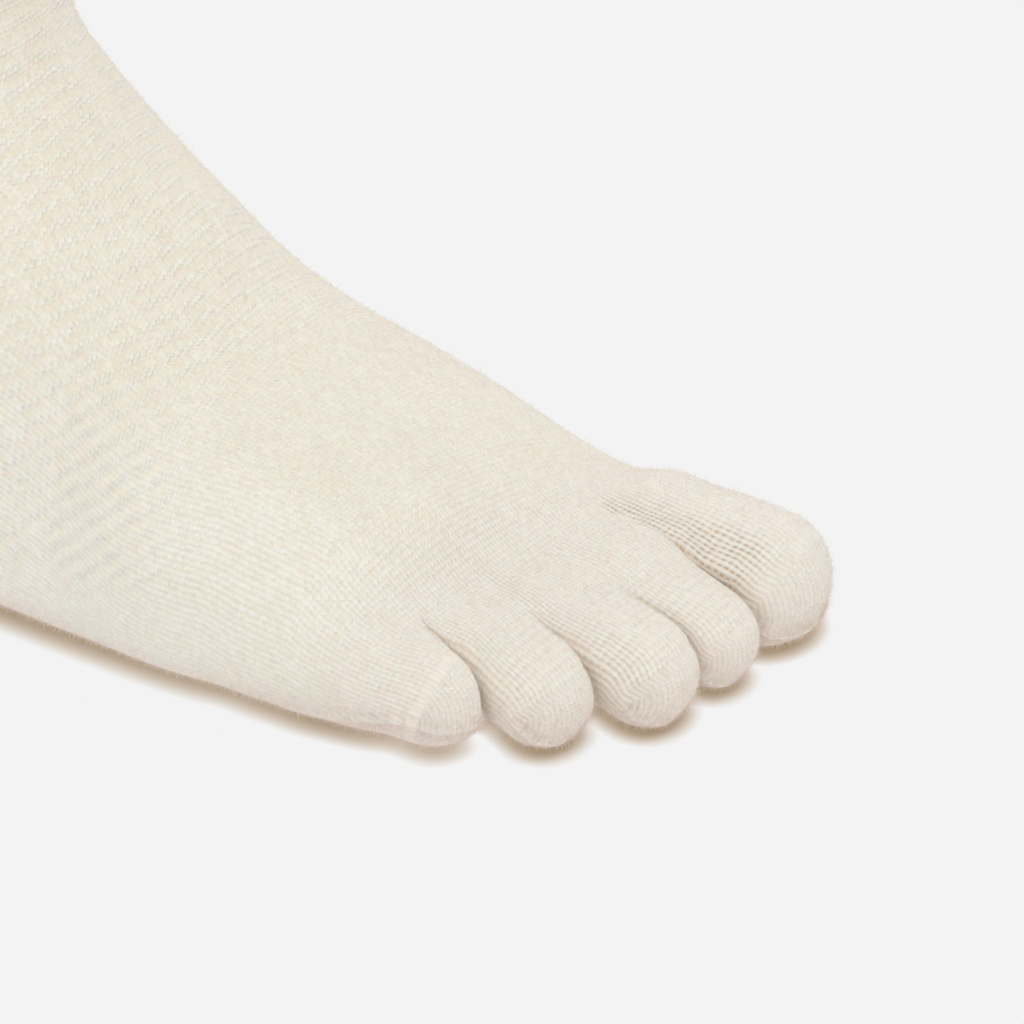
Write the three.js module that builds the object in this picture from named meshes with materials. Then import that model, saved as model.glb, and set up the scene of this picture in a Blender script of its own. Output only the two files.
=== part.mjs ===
// A five-toe crew sock, worn on a right foot. Lengths are in millimetres.
//
// The outside is one smooth surface: superellipse sections along the foot, an upright column for the
// leg and round-ended tapers for the toes, blended into each other and cut off by the sole. Rings of
// points are found on it by looking outward from inside, and each piece of cloth is the wall between
// rings on that surface and rings one wall's thickness deeper.
//
// The tables use the foot's own frame: x runs forward from the back of the heel, y towards the big
// toe's side and z up from the floor. The group at the end moves the sock so that its origin is the
// centre of the leg's opening.
import * as THREE from "three";

// Driving dimensions
const WALL = 1.5;
const SEAM_GAP = 0.3;
// The neighbouring toes' walls stand this far apart
const WEB_GAP = 0.62;
const SOCK_HEIGHT = 205;
const CUFF_HEIGHT = 38;
const RIB_COUNT = 48;
const RIB_DEPTH = 0.6;
// One rib round its points, as shares of its depth
const RIB_PROFILE = [0, 1, 1, 0];

// Sections across the foot: the height of its top, where across the foot that top lies, the two
// sides, and the height at which the section is widest
const FOOT_SECTIONS = [
  { x: 34, top: 66, peakY: 0, medialY: 30.5, lateralY: -30.5, widestZ: 25 },
  { x: 60, top: 86, peakY: 1, medialY: 31, lateralY: -32, widestZ: 24 },
  { x: 90, top: 88.5, peakY: 3, medialY: 32.5, lateralY: -36, widestZ: 22 },
  { x: 120, top: 76, peakY: 7, medialY: 36, lateralY: -43, widestZ: 20 },
  { x: 145, top: 57, peakY: 11, medialY: 41, lateralY: -47, widestZ: 18 },
  { x: 165, top: 46.5, peakY: 13, medialY: 43, lateralY: -45, widestZ: 16 },
  { x: 180, top: 39, peakY: 14, medialY: 42, lateralY: -44.5, widestZ: 14 },
  { x: 200, top: 25, peakY: 14, medialY: 39, lateralY: -43, widestZ: 12 },
  { x: 215, top: 23, peakY: 14, medialY: 37, lateralY: -42, widestZ: 11 },
];

// Level sections of the leg
const LEG_SECTIONS = [
  { z: 40, centreX: 46, halfDepth: 42, halfWidth: 30 },
  { z: 70, centreX: 52, halfDepth: 49.5, halfWidth: 32 },
  { z: 100, centreX: 53.5, halfDepth: 41.5, halfWidth: 30.5 },
  { z: 125, centreX: 55.5, halfDepth: 39, halfWidth: 31 },
  { z: 160, centreX: 54.5, halfDepth: 41.5, halfWidth: 34.5 },
  { z: 210, centreX: 53, halfDepth: 44.5, halfWidth: 39.5 },
];

// Each toe tapers from its root through its knuckle to the middle of its rounded tip, radius last.
// Spread widens its section sideways
const TOES = [
  { name: "big", spread: 1.14, line: [[184, 27.5, 12.5, 12], [208, 28.5, 12.6, 12.3], [231, 27, 11.4, 12.4]] },
  { name: "second", spread: 1, line: [[186, 10, 15, 10.5], [211, 8, 14, 9], [229, 6, 9.6, 8.8]] },
  { name: "third", spread: 1, line: [[182, -5, 15, 10], [204, -8, 13, 8.8], [222.5, -10.5, 9.2, 9.4]] },
  { name: "fourth", spread: 1, line: [[175, -19, 15, 10], [195, -22.5, 13, 8.6], [208, -25, 9.2, 8.9]] },
  { name: "little", spread: 1.02, line: [[162, -33, 16.5, 10], [180, -35.5, 13, 8.8], [191, -36, 11, 8.6]] },
];

// Roundness of the sections: 2 is an ellipse, more is squarer
const INSTEP_EXPONENT = 2.2;
const SOLE_EXPONENT = 2.6;
const LEG_EXPONENT = 2.1;
const EXPONENT_BAND = 8;
// The foot's sections reach this far below the floor, which then cuts them flat
const SOLE_SINK = 2;
// The arch lifts the sole along the inner side
const ARCH = { x: 105, length: 36, startY: 14, slope: 6, lift: 13 };
// The leg's column ends softly inside the foot
const LEG_END = { z: 45, blend: 20 };
// The foot's sections end at a slanting line behind the toes, from the inner to the outer side
const FRONT_LINE = { medial: [207, 28], lateral: [172, -42] };
const BLENDS = { front: 10, toeToToe: 7, knuckle: 3, toeToFoot: 10, legToFoot: 46, sole: 5 };

// Where the pieces meet. The heel's sections fan out from a line in front of the ankle's bend, and
// the foot's turn from square across to the slant of the toes' roots
const HEEL_PIVOT = { x: 118, z: 118 };
const HEEL_REACH = { leg: 65, foot: 78 };
const TOE_ROOT = { medial: [190, 28], lateral: [167, -42] };
const FOOT_CENTRE = { backY: -1, backZ: 38, frontZ: 14 };

const COLUMNS = { leg: 48, heel: 52, foot: 64, toe: 20 };
const STEPS = { cuff: 2, leg: 5, heel: 14, foot: 9, toe: 5 };
const TOE_CAP_ANGLES = [24, 47, 69];

// A section wider than this many times its height has its rays start along a line, and the rays near
// the line's ends turn sideways as this power of the cosine
const ROUND_RATIO = 1.1;
const END_TURN_POWER = 4;

const SEARCH_STEP = 2;
const SEARCH_END = 160;
const SEARCH_HALVINGS = 22;
const LEAST_SUM = 1e-9;
const LEAST_SLOPE = 1e-3;

const CREAM = new THREE.Color("#ebe4d5");

// A curve through a table's rows, level wherever the values stop rising or falling
function smoothTable(rows, key) {
  const at = rows.map((row) => row[key]);
  const names = Object.keys(rows[0]).filter((name) => name !== key);
  const last = rows.length - 1;
  const curves = names.map((name) => {
    const values = rows.map((row) => row[name]);
    const rise = values.slice(1).map((value, i) => (value - values[i]) / (at[i + 1] - at[i]));
    const slopes = values.map((_, i) => {
      if (i === 0) return rise[0];
      if (i === last) return rise[last - 1];
      if (rise[i - 1] * rise[i] <= 0) return 0;
      const before = at[i] - at[i - 1];
      const after = at[i + 1] - at[i];
      const weights = [2 * after + before, after + 2 * before];
      return (weights[0] + weights[1]) / (weights[0] / rise[i - 1] + weights[1] / rise[i]);
    });
    return { name, values, slopes };
  });
  return (position) => {
    const x = THREE.MathUtils.clamp(position, at[0], at[last]);
    let i = 0;
    while (i < last - 1 && x >= at[i + 1]) i += 1;
    const width = at[i + 1] - at[i];
    const u = (x - at[i]) / width;
    const row = {};
    for (const { name, values, slopes } of curves) {
      row[name] =
        values[i] * (1 + 2 * u) * (1 - u) ** 2 +
        slopes[i] * width * u * (1 - u) ** 2 +
        values[i + 1] * u * u * (3 - 2 * u) +
        slopes[i + 1] * width * u * u * (u - 1);
    }
    return row;
  };
}

const footAt = smoothTable(FOOT_SECTIONS, "x");
const legAt = smoothTable(LEG_SECTIONS, "z");

// The lesser and the greater of two distances, rounded over where they are within blend of each other
function softMin(a, b, blend) {
  const overlap = Math.max(blend - Math.abs(a - b), 0) / blend;
  return Math.min(a, b) - (overlap * overlap * blend) / 4;
}

function softMax(a, b, blend) {
  return -softMin(-a, -b, blend);
}

// Distance outside a superellipse, from pairs of an offset and the half size along it
function superellipse(pairs, exponent) {
  const parts = pairs.map(([offset, half]) => Math.abs(offset) / half);
  const sum = parts.reduce((total, part) => total + part ** exponent, 0);
  const radius = Math.max(sum, LEAST_SUM) ** (1 / exponent);
  const slopes = parts.map((part, i) => part ** (exponent - 1) / pairs[i][1]);
  const slope = radius ** (1 - exponent) * Math.hypot(...slopes);
  return (radius - 1) / Math.max(slope, LEAST_SLOPE);
}

function footDistance(p) {
  const row = footAt(p.x);
  const side = p.y > row.peakY ? row.medialY - row.peakY : row.peakY - row.lateralY;
  const height = p.z > row.widestZ ? row.top - row.widestZ : row.widestZ + SOLE_SINK;
  const upper = THREE.MathUtils.smoothstep(p.z - row.widestZ, -EXPONENT_BAND, EXPONENT_BAND);
  const exponent = THREE.MathUtils.lerp(SOLE_EXPONENT, INSTEP_EXPONENT, upper);
  const heelX = FOOT_SECTIONS[0].x;
  const pairs = [
    [p.y - row.peakY, side],
    [p.z - row.widestZ, height],
    [Math.max(heelX - p.x, 0), heelX],
  ];
  return softMax(superellipse(pairs, exponent), beyondLine(p, FRONT_LINE), BLENDS.front);
}

// Distance in front of an upright plane through a line on the floor
function beyondLine(p, { medial, lateral }) {
  const dx = medial[0] - lateral[0];
  const dy = medial[1] - lateral[1];
  return ((p.x - medial[0]) * dy - (p.y - medial[1]) * dx) / Math.hypot(dx, dy);
}

function legDistance(p) {
  const row = legAt(p.z);
  const column = superellipse([[p.x - row.centreX, row.halfDepth], [p.y, row.halfWidth]], LEG_EXPONENT);
  return softMax(column, LEG_END.z - p.z, LEG_END.blend);
}

function taperDistance(p, from, to, spread) {
  const [ax, ay, az, startRadius] = from;
  const [bx, by, bz, endRadius] = to;
  const axis = [bx - ax, by - ay, bz - az];
  const offset = [p.x - ax, p.y - ay, p.z - az];
  const dot = offset[0] * axis[0] + offset[1] * axis[1] + offset[2] * axis[2];
  const along = THREE.MathUtils.clamp(dot / (axis[0] ** 2 + axis[1] ** 2 + axis[2] ** 2), 0, 1);
  const out = offset.map((value, i) => value - axis[i] * along);
  const radius = THREE.MathUtils.lerp(startRadius, endRadius, along);
  return Math.hypot(out[0], out[1] / spread, out[2]) - radius;
}

function toeDistance(p, { line, spread }) {
  const [root, knuckle, tip] = line;
  return softMin(
    taperDistance(p, root, knuckle, spread),
    taperDistance(p, knuckle, tip, spread),
    BLENDS.knuckle,
  );
}

// How far the arch lifts the sole off the floor
function soleHeight(p) {
  const along = Math.exp(-(((p.x - ARCH.x) / ARCH.length) ** 2));
  return (ARCH.lift * along) / (1 + Math.exp(-(p.y - ARCH.startY) / ARCH.slope));
}

// Distance outside the whole sock, negative inside it
function sockDistance(p) {
  const toes = TOES.map((toe) => toeDistance(p, toe)).reduce((a, b) => softMin(a, b, BLENDS.toeToToe));
  const foot = softMin(footDistance(p), toes, BLENDS.toeToFoot);
  const worn = softMin(foot, legDistance(p), BLENDS.legToFoot);
  return softMax(worn, soleHeight(p) - p.z, BLENDS.sole);
}

// The same for one toe's tube, parted from its neighbours half way between their middles
function toeTubeDistance(index) {
  const neighbours = [index - 1, index + 1].filter((i) => TOES[i]);
  return (p) => {
    const own = toeDistance(p, TOES[index]);
    const webs = neighbours.map((i) => (own - toeDistance(p, TOES[i])) / 2 + WEB_GAP / 2);
    return Math.max(sockDistance(p), ...webs);
  };
}

// How far out along a ray the surface at the given depth lies
function reach(distance, start, direction, depth) {
  const point = new THREE.Vector3();
  const isInside = (along) => distance(point.copy(start).addScaledVector(direction, along)) < -depth;
  let near = 0;
  let far = SEARCH_STEP;
  while (isInside(far) && far < SEARCH_END) {
    near = far;
    far += SEARCH_STEP;
  }
  for (let i = 0; i < SEARCH_HALVINGS; i += 1) {
    const middle = (near + far) / 2;
    if (isInside(middle)) near = middle;
    else far = middle;
  }
  return (near + far) / 2;
}

// A section through the sock near a point: its middle and its half sizes along across and up
function sectionAt(distance, nearPoint, across, up) {
  const middle = nearPoint.clone();
  const halves = [up, across].map((axis) => {
    const ahead = reach(distance, middle, axis, 0);
    const behind = reach(distance, middle, axis.clone().negate(), 0);
    middle.addScaledVector(axis, (ahead - behind) / 2);
    return (ahead + behind) / 2;
  });
  return { middle, across, up, halfHeight: halves[0], halfWidth: halves[1] };
}

// A ring of points where the section meets the surface at a depth. On a wide, low section the rays
// start along a level line, so that the points keep an even spacing. Tilt leans them along an axis
function ringOf(distance, section, columns, depth, tilt = null) {
  const { middle, across, up, halfWidth, halfHeight } = section;
  const spread = tilt ? 0 : Math.max(halfWidth - ROUND_RATIO * halfHeight, 0);
  const squareness = spread / halfWidth;
  const ring = [];
  for (let column = 0; column < columns; column += 1) {
    const angle = (2 * Math.PI * column) / columns;
    const sideways = Math.cos(angle);
    const start = middle.clone().addScaledVector(across, spread * sideways);
    const turn = 1 - squareness + squareness * sideways ** END_TURN_POWER;
    const direction = new THREE.Vector3()
      .addScaledVector(across, halfWidth * sideways * turn)
      .addScaledVector(up, halfHeight * Math.sin(angle))
      .normalize();
    if (tilt) {
      direction.multiplyScalar(Math.cos(tilt.angle)).addScaledVector(tilt.axis, Math.sin(tilt.angle));
    }
    ring.push(start.addScaledVector(direction, reach(distance, start, direction, depth)));
  }
  return ring;
}

// A closed wall between outer and inner rings. A pole closes the far end, or else a rim does
function wallGeometry(outer, inner, poles = null) {
  const columns = outer[0].length;
  const points = [...outer.flat(), ...inner.flat()];
  const faces = [];
  const index = (side, ring, column) => (side * outer.length + ring) * columns + (column % columns);
  const quad = (a, b, c, d) => faces.push(a, b, c, a, c, d);
  const end = outer.length - 1;
  for (let column = 0; column < columns; column += 1) {
    const next = column + 1;
    for (let ring = 0; ring < end; ring += 1) {
      const ahead = ring + 1;
      quad(index(0, ring, column), index(0, ring, next), index(0, ahead, next), index(0, ahead, column));
      quad(index(1, ring, next), index(1, ring, column), index(1, ahead, column), index(1, ahead, next));
    }
    quad(index(1, 0, column), index(1, 0, next), index(0, 0, next), index(0, 0, column));
    if (poles) {
      faces.push(index(0, end, column), index(0, end, next), points.length);
      faces.push(index(1, end, next), index(1, end, column), points.length + 1);
    } else {
      quad(index(0, end, column), index(0, end, next), index(1, end, next), index(1, end, column));
    }
  }
  if (poles) points.push(...poles);
  const geometry = new THREE.BufferGeometry().setFromPoints(points);
  geometry.setIndex(faces);
  geometry.computeVertexNormals();
  return geometry;
}

function clothMesh(name, geometry) {
  const material = new THREE.MeshStandardMaterial({ color: CREAM, roughness: 0.95, metalness: 0 });
  const mesh = new THREE.Mesh(geometry, material);
  mesh.name = name;
  return mesh;
}

// Even steps between two values, drawn in by half the seam's gap at both ends
function steps(from, to, count, trim = 0) {
  const inset = Math.sign(to - from) * trim;
  return Array.from({ length: count + 1 }, (_, i) =>
    THREE.MathUtils.lerp(from + inset, to - inset, i / count));
}

const MEDIAL = new THREE.Vector3(0, 1, 0);
const FORWARD = new THREE.Vector3(1, 0, 0);
const UPWARD = new THREE.Vector3(0, 0, 1);

function legSection(z) {
  const middle = new THREE.Vector3(legAt(z).centreX, 0, z);
  return sectionAt(sockDistance, middle, MEDIAL, FORWARD);
}

// The ribs stand out of the wall's outer points alone
function addRibs(ring, middle) {
  return ring.map((point, column) => {
    const outward = point.clone().sub(middle).normalize();
    const lift = RIB_DEPTH * RIB_PROFILE[column % RIB_PROFILE.length];
    return point.clone().addScaledVector(outward, lift);
  });
}

function makeCuff() {
  const columns = RIB_COUNT * RIB_PROFILE.length;
  const bottom = SOCK_HEIGHT - CUFF_HEIGHT + SEAM_GAP / 2;
  const sections = steps(SOCK_HEIGHT, bottom, STEPS.cuff).map(legSection);
  const outer = sections.map((section) =>
    addRibs(ringOf(sockDistance, section, columns, 0), section.middle));
  const inner = sections.map((section) => ringOf(sockDistance, section, columns, WALL));
  return clothMesh("cuff", wallGeometry(outer, inner));
}

function makeTube(name, sections, columns) {
  const outer = sections.map((section) => ringOf(sockDistance, section, columns, 0));
  const inner = sections.map((section) => ringOf(sockDistance, section, columns, WALL));
  return clothMesh(name, wallGeometry(outer, inner));
}

function makeLeg() {
  const heights = steps(SOCK_HEIGHT - CUFF_HEIGHT, HEEL_PIVOT.z, STEPS.leg, SEAM_GAP / 2);
  return makeTube("leg", heights.map(legSection), COLUMNS.leg);
}

// The heel's sections turn about the pivot from level, at the leg, to upright, at the foot. The first
// and the last are moved off the seams instead of turned, so that the gaps stay even
function makeHeel() {
  const sections = steps(0, 1, STEPS.heel).map((turn) => {
    const angle = (turn * Math.PI) / 2;
    const up = new THREE.Vector3(Math.cos(angle), 0, Math.sin(angle));
    const near = new THREE.Vector3(HEEL_PIVOT.x, 0, HEEL_PIVOT.z);
    near.addScaledVector(up, -THREE.MathUtils.lerp(HEEL_REACH.leg, HEEL_REACH.foot, turn));
    if (turn === 0) near.z -= SEAM_GAP / 2;
    if (turn === 1) near.x -= SEAM_GAP / 2;
    return sectionAt(sockDistance, near, MEDIAL, up);
  });
  return makeTube("heel", sections, COLUMNS.heel);
}

// Across the toes' roots, towards the big toe's side, and the way forward from there
const rootAcross = new THREE.Vector3(
  TOE_ROOT.medial[0] - TOE_ROOT.lateral[0],
  TOE_ROOT.medial[1] - TOE_ROOT.lateral[1],
  0,
).normalize();
const rootForward = new THREE.Vector3().crossVectors(rootAcross, UPWARD);

function makeFoot() {
  const back = new THREE.Vector3(HEEL_PIVOT.x + SEAM_GAP / 2, FOOT_CENTRE.backY, FOOT_CENTRE.backZ);
  const front = new THREE.Vector3(
    (TOE_ROOT.medial[0] + TOE_ROOT.lateral[0]) / 2,
    (TOE_ROOT.medial[1] + TOE_ROOT.lateral[1]) / 2,
    FOOT_CENTRE.frontZ,
  ).addScaledVector(rootForward, -SEAM_GAP / 2);
  const sections = steps(0, 1, STEPS.foot).map((along) => {
    const across = MEDIAL.clone().lerp(rootAcross, along).normalize();
    return sectionAt(sockDistance, back.clone().lerp(front, along), across, UPWARD);
  });
  return makeTube("foot", sections, COLUMNS.foot);
}

// A point part of the way from the root plane to the tip, along the toe's bent line
function toeLinePoint(toe, along) {
  const [root, knuckle, tip] = toe.line.map(([x, y, z]) => new THREE.Vector3(x, y, z));
  const toKnuckle = knuckle.clone().sub(root);
  const behind = -beyondLine(root, TOE_ROOT) + SEAM_GAP / 2;
  const start = root.clone().addScaledVector(toKnuckle, behind / toKnuckle.dot(rootForward));
  const lengths = [start.distanceTo(knuckle), knuckle.distanceTo(tip)];
  const travelled = along * (lengths[0] + lengths[1]);
  if (travelled < lengths[0]) return start.lerp(knuckle, travelled / lengths[0]);
  return knuckle.clone().lerp(tip, (travelled - lengths[0]) / lengths[1]);
}

// The toe's sections turn from the slant of the root to square across the toe, then fan over its tip
function makeToe(toe, number) {
  const distance = toeTubeDistance(number);
  const [, knuckle, tip] = toe.line.map(([x, y, z]) => new THREE.Vector3(x, y, z));
  const tipAxis = tip.clone().sub(knuckle).normalize();
  const tipAcross = new THREE.Vector3().crossVectors(UPWARD, tipAxis).normalize();
  const tipUp = new THREE.Vector3().crossVectors(tipAxis, tipAcross);
  const sections = steps(0, 1, STEPS.toe).map((along) => {
    const across = rootAcross.clone().lerp(tipAcross, along).normalize();
    const up = UPWARD.clone().lerp(tipUp, along).normalize();
    return sectionAt(distance, toeLinePoint(toe, along), across, up);
  });
  const lastSection = sections[STEPS.toe];
  const capTilts = TOE_CAP_ANGLES.map((degrees) => ({
    axis: tipAxis,
    angle: THREE.MathUtils.degToRad(degrees),
  }));
  const ringsAt = (depth) => [
    ...sections.map((section) => ringOf(distance, section, COLUMNS.toe, depth)),
    ...capTilts.map((tilt) => ringOf(distance, lastSection, COLUMNS.toe, depth, tilt)),
  ];
  const poles = [0, WALL].map((depth) => lastSection.middle.clone()
    .addScaledVector(tipAxis, reach(distance, lastSection.middle, tipAxis, depth)));
  return clothMesh(`toe_${toe.name}`, wallGeometry(ringsAt(0), ringsAt(WALL), poles));
}

const sock = new THREE.Group();
sock.add(makeCuff(), makeLeg(), makeHeel(), makeFoot(), ...TOES.map(makeToe));
sock.position.set(-legAt(SOCK_HEIGHT).centreX, 0, -SOCK_HEIGHT);

export default sock;
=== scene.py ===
"""A five-toe crew sock in cream cotton knit, worn on a right foot: its cloth, its fuzz and its studio.

The sock's form is one smooth surface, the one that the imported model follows, with the toes pressed
closer together: sections along the foot, an upright column for the leg and a taper for each toe. Rings
of points are found on it by looking outward from inside, and the knitted body grows from ring to ring,
from the cuff down over the heel and out to the tip of each toe, so that its knitted columns run as a
knitting machine lays them.

The tables are in millimetres in the foot's own frame: x runs forward from the back of the heel, y
towards the big toe's side and z up from the floor.
"""

import math

import bmesh
import bpy
import numpy as np
from mathutils import Euler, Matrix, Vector


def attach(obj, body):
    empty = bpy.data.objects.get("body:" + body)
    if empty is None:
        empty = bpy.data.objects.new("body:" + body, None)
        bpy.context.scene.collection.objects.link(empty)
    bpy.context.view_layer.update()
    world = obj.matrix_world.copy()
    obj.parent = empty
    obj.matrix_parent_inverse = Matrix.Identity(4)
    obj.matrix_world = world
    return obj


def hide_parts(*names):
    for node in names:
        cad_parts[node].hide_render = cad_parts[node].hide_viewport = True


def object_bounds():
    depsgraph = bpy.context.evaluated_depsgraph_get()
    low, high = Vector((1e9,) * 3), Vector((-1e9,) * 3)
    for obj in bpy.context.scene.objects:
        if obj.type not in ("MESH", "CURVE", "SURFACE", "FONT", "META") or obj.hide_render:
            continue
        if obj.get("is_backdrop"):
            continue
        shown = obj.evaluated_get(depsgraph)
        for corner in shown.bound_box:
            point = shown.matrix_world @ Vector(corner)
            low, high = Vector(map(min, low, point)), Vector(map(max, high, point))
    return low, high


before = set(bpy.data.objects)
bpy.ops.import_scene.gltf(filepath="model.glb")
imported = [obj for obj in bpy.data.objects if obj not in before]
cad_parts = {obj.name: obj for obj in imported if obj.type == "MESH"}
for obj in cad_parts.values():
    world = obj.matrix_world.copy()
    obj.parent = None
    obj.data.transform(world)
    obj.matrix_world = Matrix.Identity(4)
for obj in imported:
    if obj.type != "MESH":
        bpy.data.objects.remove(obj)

bl_info = {
    "name": "Five-Toe Crew Sock",
    "version": (1, 0, 0),
    "blender": (4, 5, 0),
    "location": "View3D > Sidebar > Sock",
    "description": "Knits a worn five-toe crew sock round its packed model and sets its studio",
    "category": "Object",
}

CAD_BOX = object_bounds()
MM = 0.001

# Sections across the foot: x, top, where across the foot that top lies, the inner and the outer side,
# and the height at which the section is widest
FOOT_SECTIONS = [
    [34, 66, 0, 30.5, -30.5, 25],
    [60, 86, 1, 31, -32, 24],
    [90, 88.5, 3, 32.5, -36, 22],
    [120, 76, 7, 36, -43, 20],
    [145, 57, 11, 41, -47, 18],
    [165, 46.5, 13, 43, -45, 16],
    [180, 39, 14, 42, -44.5, 14],
    [200, 25, 14, 39, -43, 12],
    [215, 23, 14, 37, -42, 11],
]

# Level sections of the leg: z, the middle's x, half depth, half width
LEG_SECTIONS = [
    [40, 46, 42, 30],
    [70, 52, 49.5, 32],
    [100, 53.5, 41.5, 30.5],
    [125, 55.5, 39, 31],
    [160, 54.5, 41.5, 34.5],
    [210, 53, 44.5, 39.5],
]

# Each toe's root, knuckle and middle of its rounded tip, radius last. Spread widens it sideways
TOES = [
    {"spread": 1.14, "line": [[184, 27.5, 12.5, 12], [208, 28.5, 12.6, 12.3], [231, 27, 11.4, 12.4]]},
    {"spread": 1.0, "line": [[186, 10, 15, 10.5], [211, 8, 14, 9], [229, 6, 9.6, 8.8]]},
    {"spread": 1.0, "line": [[182, -5, 15, 10], [204, -8, 13, 8.8], [222.5, -10.5, 9.2, 9.4]]},
    {"spread": 1.0, "line": [[175, -19, 15, 10], [195, -22.5, 13, 8.6], [208, -25, 9.2, 8.9]]},
    {"spread": 1.02, "line": [[162, -33, 16.5, 10], [180, -35.5, 13, 8.8], [191, -36, 11, 8.6]]},
]
# How far below straight ahead the seam that closes each toe lies, in degrees
SEAM_DROPS = (30, 38, 36, 30, 6)

INSTEP_EXPONENT = 2.2
SOLE_EXPONENT = 2.6
LEG_EXPONENT = 2.1
EXPONENT_BAND = 8
SOLE_SINK = 2
ARCH = {"x": 105, "length": 36, "start_y": 14, "slope": 6, "lift": 13}
LEG_END = {"z": 45, "blend": 20}
FRONT_LINE = ((207, 28), (172, -42))
BLENDS = {"front": 10, "toe_to_toe": 12, "knuckle": 3, "toe_to_foot": 10, "leg_to_foot": 46, "sole": 5}
HEEL_PIVOT = (118, 118)
HEEL_REACH = (65, 78)
TOE_ROOT = ((190, 28), (167, -42))
FOOT_BACK = (118, -1, 38)
FOOT_FRONT_HEIGHT = 14

SOCK_TOP = 205
CUFF_BOTTOM = 167

# Columns of the body's mesh round the foot, in order from the middle of the inner side: up over the
# toes, round the little toe's side and back under the sole. Each is one and a fifth wales wide
UPPER_COLUMNS = (25, 15, 15, 15, 40)
LOWER_COLUMNS = (25, 15, 15, 15)
COLUMNS = sum(UPPER_COLUMNS) + sum(LOWER_COLUMNS)
WALES_ROUND = 216
WALES_A_COLUMN = WALES_ROUND / COLUMNS
WEB_COLUMNS = 8
WEB_WALES = 8
COURSE_PITCH = 0.9
# The columns behind and under the ankle, whose courses are those of the heel's pocket
HEEL_COLUMNS = (96, 174)

# Rings of the body's mesh down the leg, round the heel and along the foot, and the toes' spacing
LEG_RINGS = 26
HEEL_RINGS = 47
FOOT_RINGS = 40
RING_STEP = 1.6
# The least number of rings from where a toe is free to its tip
LEAST_TOE_RINGS = 3
# How far in front of the toes' roots each pair of neighbouring toes divides into two tubes
CROTCHES = (24.0, 32.0, 25.6, 14.4)
TOE_GAP = 0.45
TOE_EDGE_BLEND = 2.0
# Half the width over which a toe's inner side gives way to its outer side
TOE_SIDE_BAND = 3
# Where each pair has fully parted from one surface to two round tubes
PARTED = (43, 46, 37, 25)
CAP_ANGLES = (12, 24, 35, 45, 54, 62, 70, 78)

# Any size will do for the ring that a mesh grows from, because its points are moved to their places
START_RADIUS = 0.04

RIB_COLUMNS = 8
RIB_FADE = 3
CUFF_RINGS = 20
LIP_RINGS = 5

# The waffle's straight bands and its blocks along them: the way across each, and their pitches
WAFFLE_WAY = np.array([0.66, -0.16, -0.735])
WAFFLE_ALONG = np.array([0.675, 0.591, 0.442])
WAFFLE_PITCH = 3.5
WAFFLE_BLOCK = 7.4
# Where the wales beside a toe begin and cease to be pulled apart: degrees round the toe at its top and
# below, and millimetres past its root and its tip
LADDER_TOP = (102, 130)
LADDER_BOTTOM = (210, 232)
LADDER_ROOT = (11, 18)
LADDER_TIP = (1, 11)
# How far the wales on each toe's outer side are pulled apart, from the big toe to the little one
LADDER_STRENGTHS = (1.0, 0.12, 0.4, 0.2, 0.05)

FIBRE_SEED = 11
# How many times more fibres there are on the toes' seams than beside them
SEAM_FUZZ = 7

# Creases that wearing leaves, as the points of each line, its depth and its half width: round the
# ankle and heel, over the instep and along the inner side. The last two are the hollow behind the big
# toe and the rise on it, whose depth is below nought
CREASES = [
    ([(8, -18, 90), (3, 0, 84), (7, 17, 88)], 0.9, 3.2),
    ([(9, -14, 101), (5, 3, 98), (9, 19, 103)], 0.6, 2.6),
    ([(12, 20, 74), (25, 29, 69), (41, 31, 76)], 0.7, 3.6),
    ([(13, -22, 73), (29, -30, 68), (46, -31, 74)], 0.8, 3.0),
    ([(18, -24, 60), (36, -31, 56)], 0.5, 2.6),
    ([(78, 26, 92), (91, 14, 100), (95, -2, 103), (88, -20, 97)], 0.4, 4.2),
    ([(80, 30, 78), (98, 19, 88)], 0.45, 3.4),
    ([(84, 31, 46), (105, 33, 37), (126, 35, 27)], 0.5, 4.2),
    ([(92, 32, 32), (114, 34, 23)], 0.35, 3.0),
    ([(201, 37, 18), (200, 31, 27), (200, 20, 28)], 1.7, 6.5),
    ([(222, 38, 15), (222, 30, 23), (222, 19, 22)], -0.8, 8.0),
]
CREASE_POINTS = 24
# How far the cloth on the sole side of a toe's seam stands out of the toe
SOLE_SIDE_LIFT = 0.6
# Height and half width of the ridge in which a toe's seam stands out
SEAM_RIDGE = (0.55, 1.1)
# The little toe's seam along the outer side of the foot: its places along x and its heights
OUTER_SEAM = ((120, 150, 170, 184, 191), (2, 4, 6.5, 9.5, 11))

FLOOR_REACH = 6
SKY_STRENGTH = 0.965
KEY_SIZE = 1.6
KEY_TARGET = (0.1, 0, -0.2)
KEY_WATTS = 5
KEY_PLACE = (0.25, -0.55, 1.3)
# How far the painted shadow on the floor reaches beside the foot and beside the toes, and where the one gives
# way to the other, in metres in the imported model's frame
SHADOW_REACHES = (0.0052, 0.0040)
SHADOW_TURN = (0.06, 0.15)

# The camera's place in the foot's frame, its turn and tilt in degrees and its lens on a 36 mm sensor
CAMERA_PLACE = (567.49, -845.27, 586.53)
CAMERA_AZIMUTH = 24
CAMERA_ELEVATION = 31
CAMERA_LENS = 205.66
CAMERA_SENSOR = 36
CAMERA_REACH = 50

# A ray looks for the surface in steps, then by halving the last one
SEARCH_STEP = 3.0
SEARCH_HALVINGS = 14
SETTLING_ROUNDS = 8
SETTLING_NUDGE = 0.05
ROUND_RATIO = 1.1
END_TURN_POWER = 4
BODY_RAYS = 400
TOE_RAYS = 240

MEDIAL = np.array([0.0, 1.0, 0.0])
FORWARD = np.array([1.0, 0.0, 0.0])
UPWARD = np.array([0.0, 0.0, 1.0])


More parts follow.
